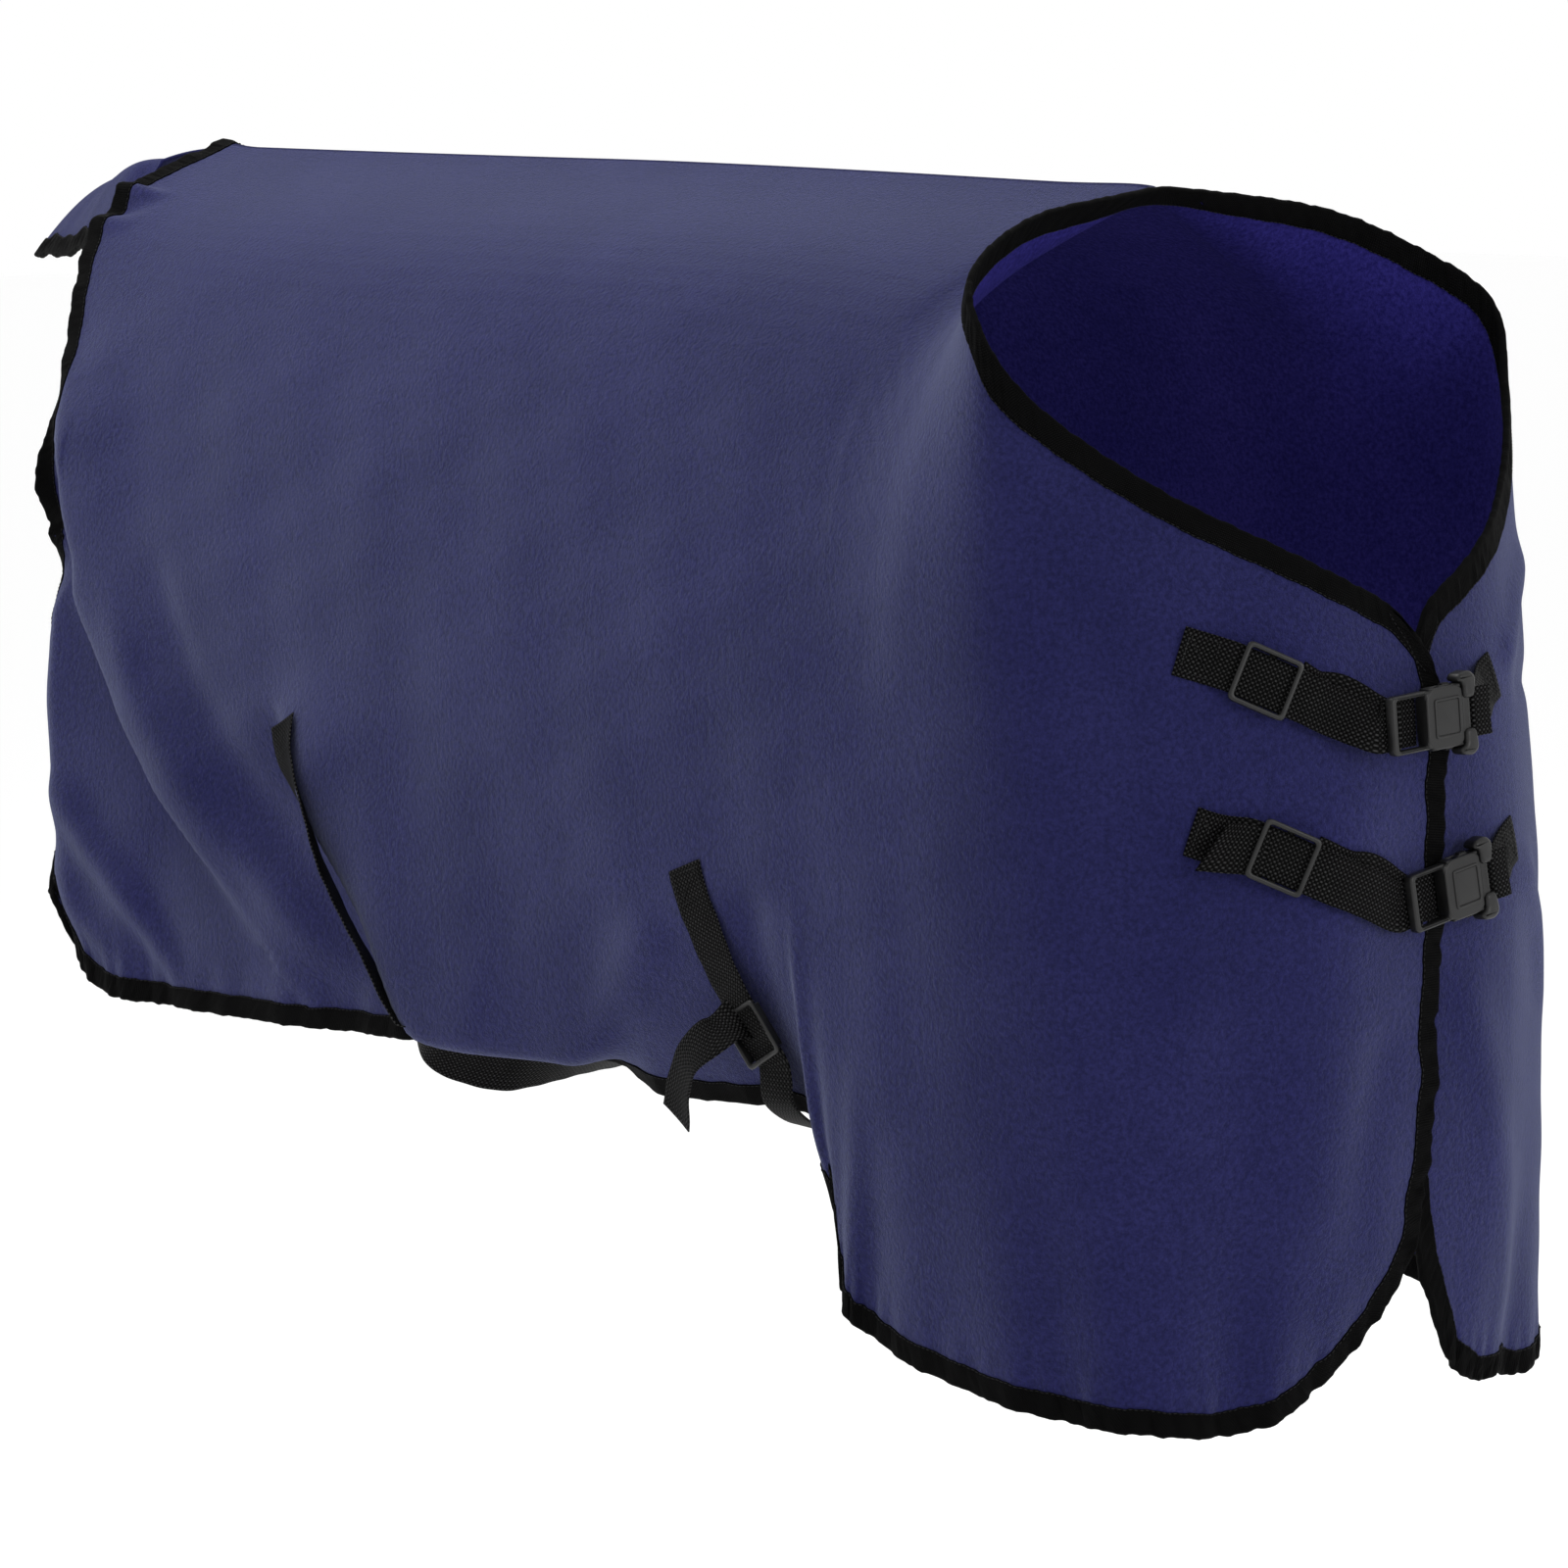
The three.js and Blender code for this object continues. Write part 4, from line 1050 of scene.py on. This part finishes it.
def prong_moulding(sign):
    """One sprung arm with four grip ribs on its squeezed face."""
    m = Moulding()
    outline = [(24, 12), (27, 20), (19.5, 20.6), (15.6, 25.8), (6, 26.2),
               (-1, 22.5), (-4, 18), (-3, 14.6), (12, 15)]
    m.slab([(x, y * sign) for x, y in outline], -3.0, 3.0, 1.3, 3)
    for x in (6, 8.2, 10.4, 12.6):
        m.slab(box(x - 0.5, x + 0.5, 24.2 * sign, 26.9 * sign), -2.4, 2.4, 0.3, 0.3)
    return m


def slide_moulding():
    """A tri-glide: a square frame and its middle bar."""
    m = Moulding()
    m.ring((-25, 25, 25, 5.5), (-20.6, 20.6, 20.9, 3), 1.6, 5.2, 1.5)
    for sign in (1, -1):
        m.slab(box(-20, 20, 20.9 * sign, 24.9 * sign), -2.6, 4.6, 1.3, 2)
    m.slab(box(-3.4, 3.4, -22, 22), -4.2, -1.5, 1.1, 1)
    return m


def buckle(name, guide, toward):
    matrix = frame_at(guide, toward)
    female_moulding().piece(f"{name}_female_shell", matrix, [f"{name}_female_buckle"])
    male_moulding().piece(f"{name}_male_body", matrix, [f"{name}_male_buckle"])
    for letter, sign in (("a", 1), ("b", -1)):
        node = f"{name}_prong_{letter}"
        prong_moulding(sign).piece(f"{node}_arm", matrix, [node], node)
    return matrix


def slide(name, matrix):
    slide_moulding().piece(f"{name}_ring", matrix, [name], name)


# ---- chest straps and surcingles ----

# Heights of the webbing in a slide's own frame, in mm, by distance from the middle bar.
SLIDE_HEIGHTS = {42: -0.6, 30: -0.9, 21: -0.9, 10: -0.1, 0: 0.6}
SLIDE_SPOTS = (-30, -21, -10, 0, 10, 21, 30, 42)


def chest_strap(name, sewn_z, slide_at, middle, rise, tab):
    """The strap sewn on the right through its slide to the buckle, and the tab sewn on the left."""
    guide = (np.array(middle) * MM, unit(np.array([1, 0.03, 0.05])))
    matrix = buckle(name, guide, guide[0] + np.array([0, 50, rise]) * MM)
    toward = in_frame(matrix, FEMALE_END - 10, 0, -6)[0]
    slide_matrix = frame_at(on_chest(*slide_at, 9.5, folded=False), toward)
    slide(f"{name}_slide", slide_matrix)
    slide_exit = in_frame(slide_matrix, 42, 0, 0)[0]
    bar_entry = in_frame(matrix, FEMALE_BAR - 14, 0, 0)[0]
    _, mid_y, mid_z = (slide_exit + bar_entry) / (2 * MM)
    front = webbing(f"{name}_webbing", [
        on_chest(-202, sewn_z, 3.0),
        on_chest(-185, sewn_z - 7, 3.4),
        *[in_frame(slide_matrix, x, 0, SLIDE_HEIGHTS[abs(x)]) for x in SLIDE_SPOTS],
        on_chest(mid_y, mid_z, 8.5),
        *round_bar(matrix, FEMALE_BAR, -1)[:5],
    ], [f"{name}_strap"], cup=0.6)
    sewn_box(f"{name}_stitches", front)
    webbing(f"{name}_return", [
        in_frame(matrix, FEMALE_BAR + 32, 0, -6.4),
        in_frame(matrix, FEMALE_BAR + 4, 1, -6.4),
        in_frame(matrix, FEMALE_BAR - 6, 4, -5.4),
        on_chest(mid_y + 6, mid_z + 11, 4.6),
        on_chest(mid_y - 12, mid_z + 14, 4.4),
        in_frame(slide_matrix, 24, 8, -3.8),
    ], cup=-0.4)
    if name == "lower_chest":
        end = [(-14, -2, 0.9), (-24, -4, 0.75), (-33, -6, 0.9), (-45, -10, 2.4), (-58, -14, 4.2)]
        webbing(f"{name}_free_end", [in_frame(slide_matrix, *place) for place in end], cup=0.9, cut=-12)
    held = webbing(f"{name}_tab_webbing", [
        on_chest(tab[0], tab[1], 3.0),
        on_chest(tab[0] - 16, tab[1] - 6, 5.0),
        *round_bar(matrix, MALE_BAR, 1),
    ], [f"{name}_tab"], cup=-0.8)
    sewn_box(f"{name}_tab_stitches", held, 22)


def flank_buckle(name, x, z, lower_x, lower_z):
    return buckle(name, on_side(1, x, z, 12.5, False), on_side(1, lower_x, lower_z, 12.5, False)[0])


def anchor(name, matrix, x, lower_x):
    """The short strap sewn on the left flank that holds a surcingle's female buckle."""
    held = webbing(f"{name}_anchor_webbing", [
        on_side(1, x, -500, 3.0),
        on_side(1, lower_x, -520, 4),
        *round_bar(matrix, FEMALE_BAR, -1),
    ], [f"{name}_anchor"])
    sewn_box(f"{name}_anchor_stitches", held, 22)


def front_surcingle():
    matrix = flank_buckle("front_surcingle", -180, -600, -170, -680)
    slide_matrix = frame_at(on_side(-1, -160, -690, 12, False), on_side(-1, -186, -645, 10, False)[0])
    slide("front_surcingle_slide", slide_matrix)
    through = ((36, -0.9), (21, -0.9), (10, -0.1), (0, 0.6), (-10, -0.1), (-21, -0.9), (-31, -1.0))
    held = webbing("front_surcingle_webbing", [
        on_side(-1, -236, -560, 3.0),
        on_side(-1, -226, -585, 3.4),
        on_side(-1, -206, -622, 6),
        *[in_frame(slide_matrix, x, 0, z) for x, z in through],
        free(-143, -288, -752, 0, -0.8, -0.5),
        free(-135, -258, -774, 0, -0.4, -1),
        free(-124, -150, -786, 0, 0, -1),
        free(-128, 0, -800, 0, 0, -1),
        free(-138, 150, -798, 0, 0, -1),
        free(-150, 254, -790, 0, 0.4, -0.9),
        free(-158, 288, -762, 0, 0.8, -0.6),
        on_side(1, -164, -712, 7.4),
        *round_bar(matrix, MALE_BAR, 1),
    ], ["front_surcingle"], cup=-0.5)
    sewn_box("front_surcingle_stitches", held)
    anchor("front_surcingle", matrix, -196, -192)
    webbing("front_surcingle_free_end", [
        in_frame(slide_matrix, 16, 0, 4.6),
        free(-176, -331, -694, -0.1, -1, 0.3),
        free(-199, -336, -711, -0.25, -1, 0.2),
        free(-214, -334, -734, -0.3, -1, 0),
        free(-225, -329, -769, -0.1, -1, 0),
    ], ["front_surcingle_tail"], cup=0.8, cut=-4)


def rear_surcingle():
    matrix = flank_buckle("rear_surcingle", -546, -600, -548, -680)
    held = webbing("rear_surcingle_webbing", [
        (on_side(-1, -778, -484, 4.0)[0], unit(np.array([-0.12, -0.99, 0.1]))),
        (on_side(-1, -766, -508, 6)[0], unit(np.array([-0.35, -0.93, 0.1]))),
        free(-740, -324, -552, -0.72, -0.7, 0),
        free(-698, -328, -616, -0.85, -0.55, 0),
        free(-648, -322, -684, -0.8, -0.6, -0.1),
        free(-613, -308, -738, -0.9, -0.5, 0),
        free(-582, -290, -766, 0.1, -0.95, -0.1),
        free(-562, -235, -784, 0.75, -0.5, -0.4),
        free(-552, -150, -786, 0.5, -0.2, -0.8),
        free(-556, 0, -790, 0, 0, -1),
        free(-558, 150, -794, 0, 0, -1),
        free(-553, 262, -792, 0, 0.4, -0.9),
        free(-551, 298, -760, 0, 0.8, -0.6),
        on_side(1, -549, -712, 7.4),
        *round_bar(matrix, MALE_BAR, 1),
    ], ["rear_surcingle"], cup=0.8)
    sewn_box("rear_surcingle_stitches", held)
    anchor("rear_surcingle", matrix, -544, -544)


NAVY = ((0.0085, 0.0085, 0.054), (0.0125, 0.0125, 0.066))
# painted shade: the inner face's deep indigo, used without sheen, stands in for the shade inside the rug
INSIDE_SHADE_BLUE = ((0.016, 0.0135, 0.112), (0.022, 0.018, 0.136))
# for the tape and the webbing, the first colour is the black yarn and the second a painted highlight on the
# weave's crests
TAPE_BLACK_AND_HIGHLIGHT = ((0.0008, 0.0008, 0.0008), (0.009, 0.009, 0.0095))
WEB_BLACK_AND_HIGHLIGHT = ((0.0005, 0.0005, 0.0005), (0.034, 0.034, 0.0345))

make_camera()
make_studio()
FLEECE = fleece_material("fleece", *NAVY, sheen=0.36)
# painted shade: the same fleece as the flanks with its sheen lowered, to darken the upturned tail flap
FLEECE_FLAP_SHADED = fleece_material("fleece_flap_painted_shade", *NAVY, sheen=0.2)
# painted shade: the same fleece for the inner faces, with its sheen taken out
FLEECE_INSIDE_SHADED = fleece_material("fleece_inside_painted_shade", *INSIDE_SHADE_BLUE, sheen=0.0)
TAPE_LOOK = woven_material("binding_tape", *TAPE_BLACK_AND_HIGHLIGHT, rows=0.0020, across=0.0016, roughness=0.7, slant=1.0)
WEB_LOOK = woven_material("webbing", *WEB_BLACK_AND_HIGHLIGHT, rows=0.0042, across=0.0042, roughness=0.5)
PLASTIC = plastic_material()
THREAD = thread_material()

for side, hand in ((-1, "right"), (1, "left")):
    panel(side, hand)
for side, hand in ((-1, "right"), (1, "left")):
    edge_tape(side, hand)
neck_tape()
croup_tape()
tail_flap()
chest_strap("upper_chest", sewn_z=-353, slide_at=(-148, -378),
            middle=(329, -10, -412), rise=3, tab=(98, -388))
chest_strap("lower_chest", sewn_z=-494, slide_at=(-143, -516),
            middle=(325, 20, -551), rise=8, tab=(116, -522))
front_surcingle()
rear_surcingle()
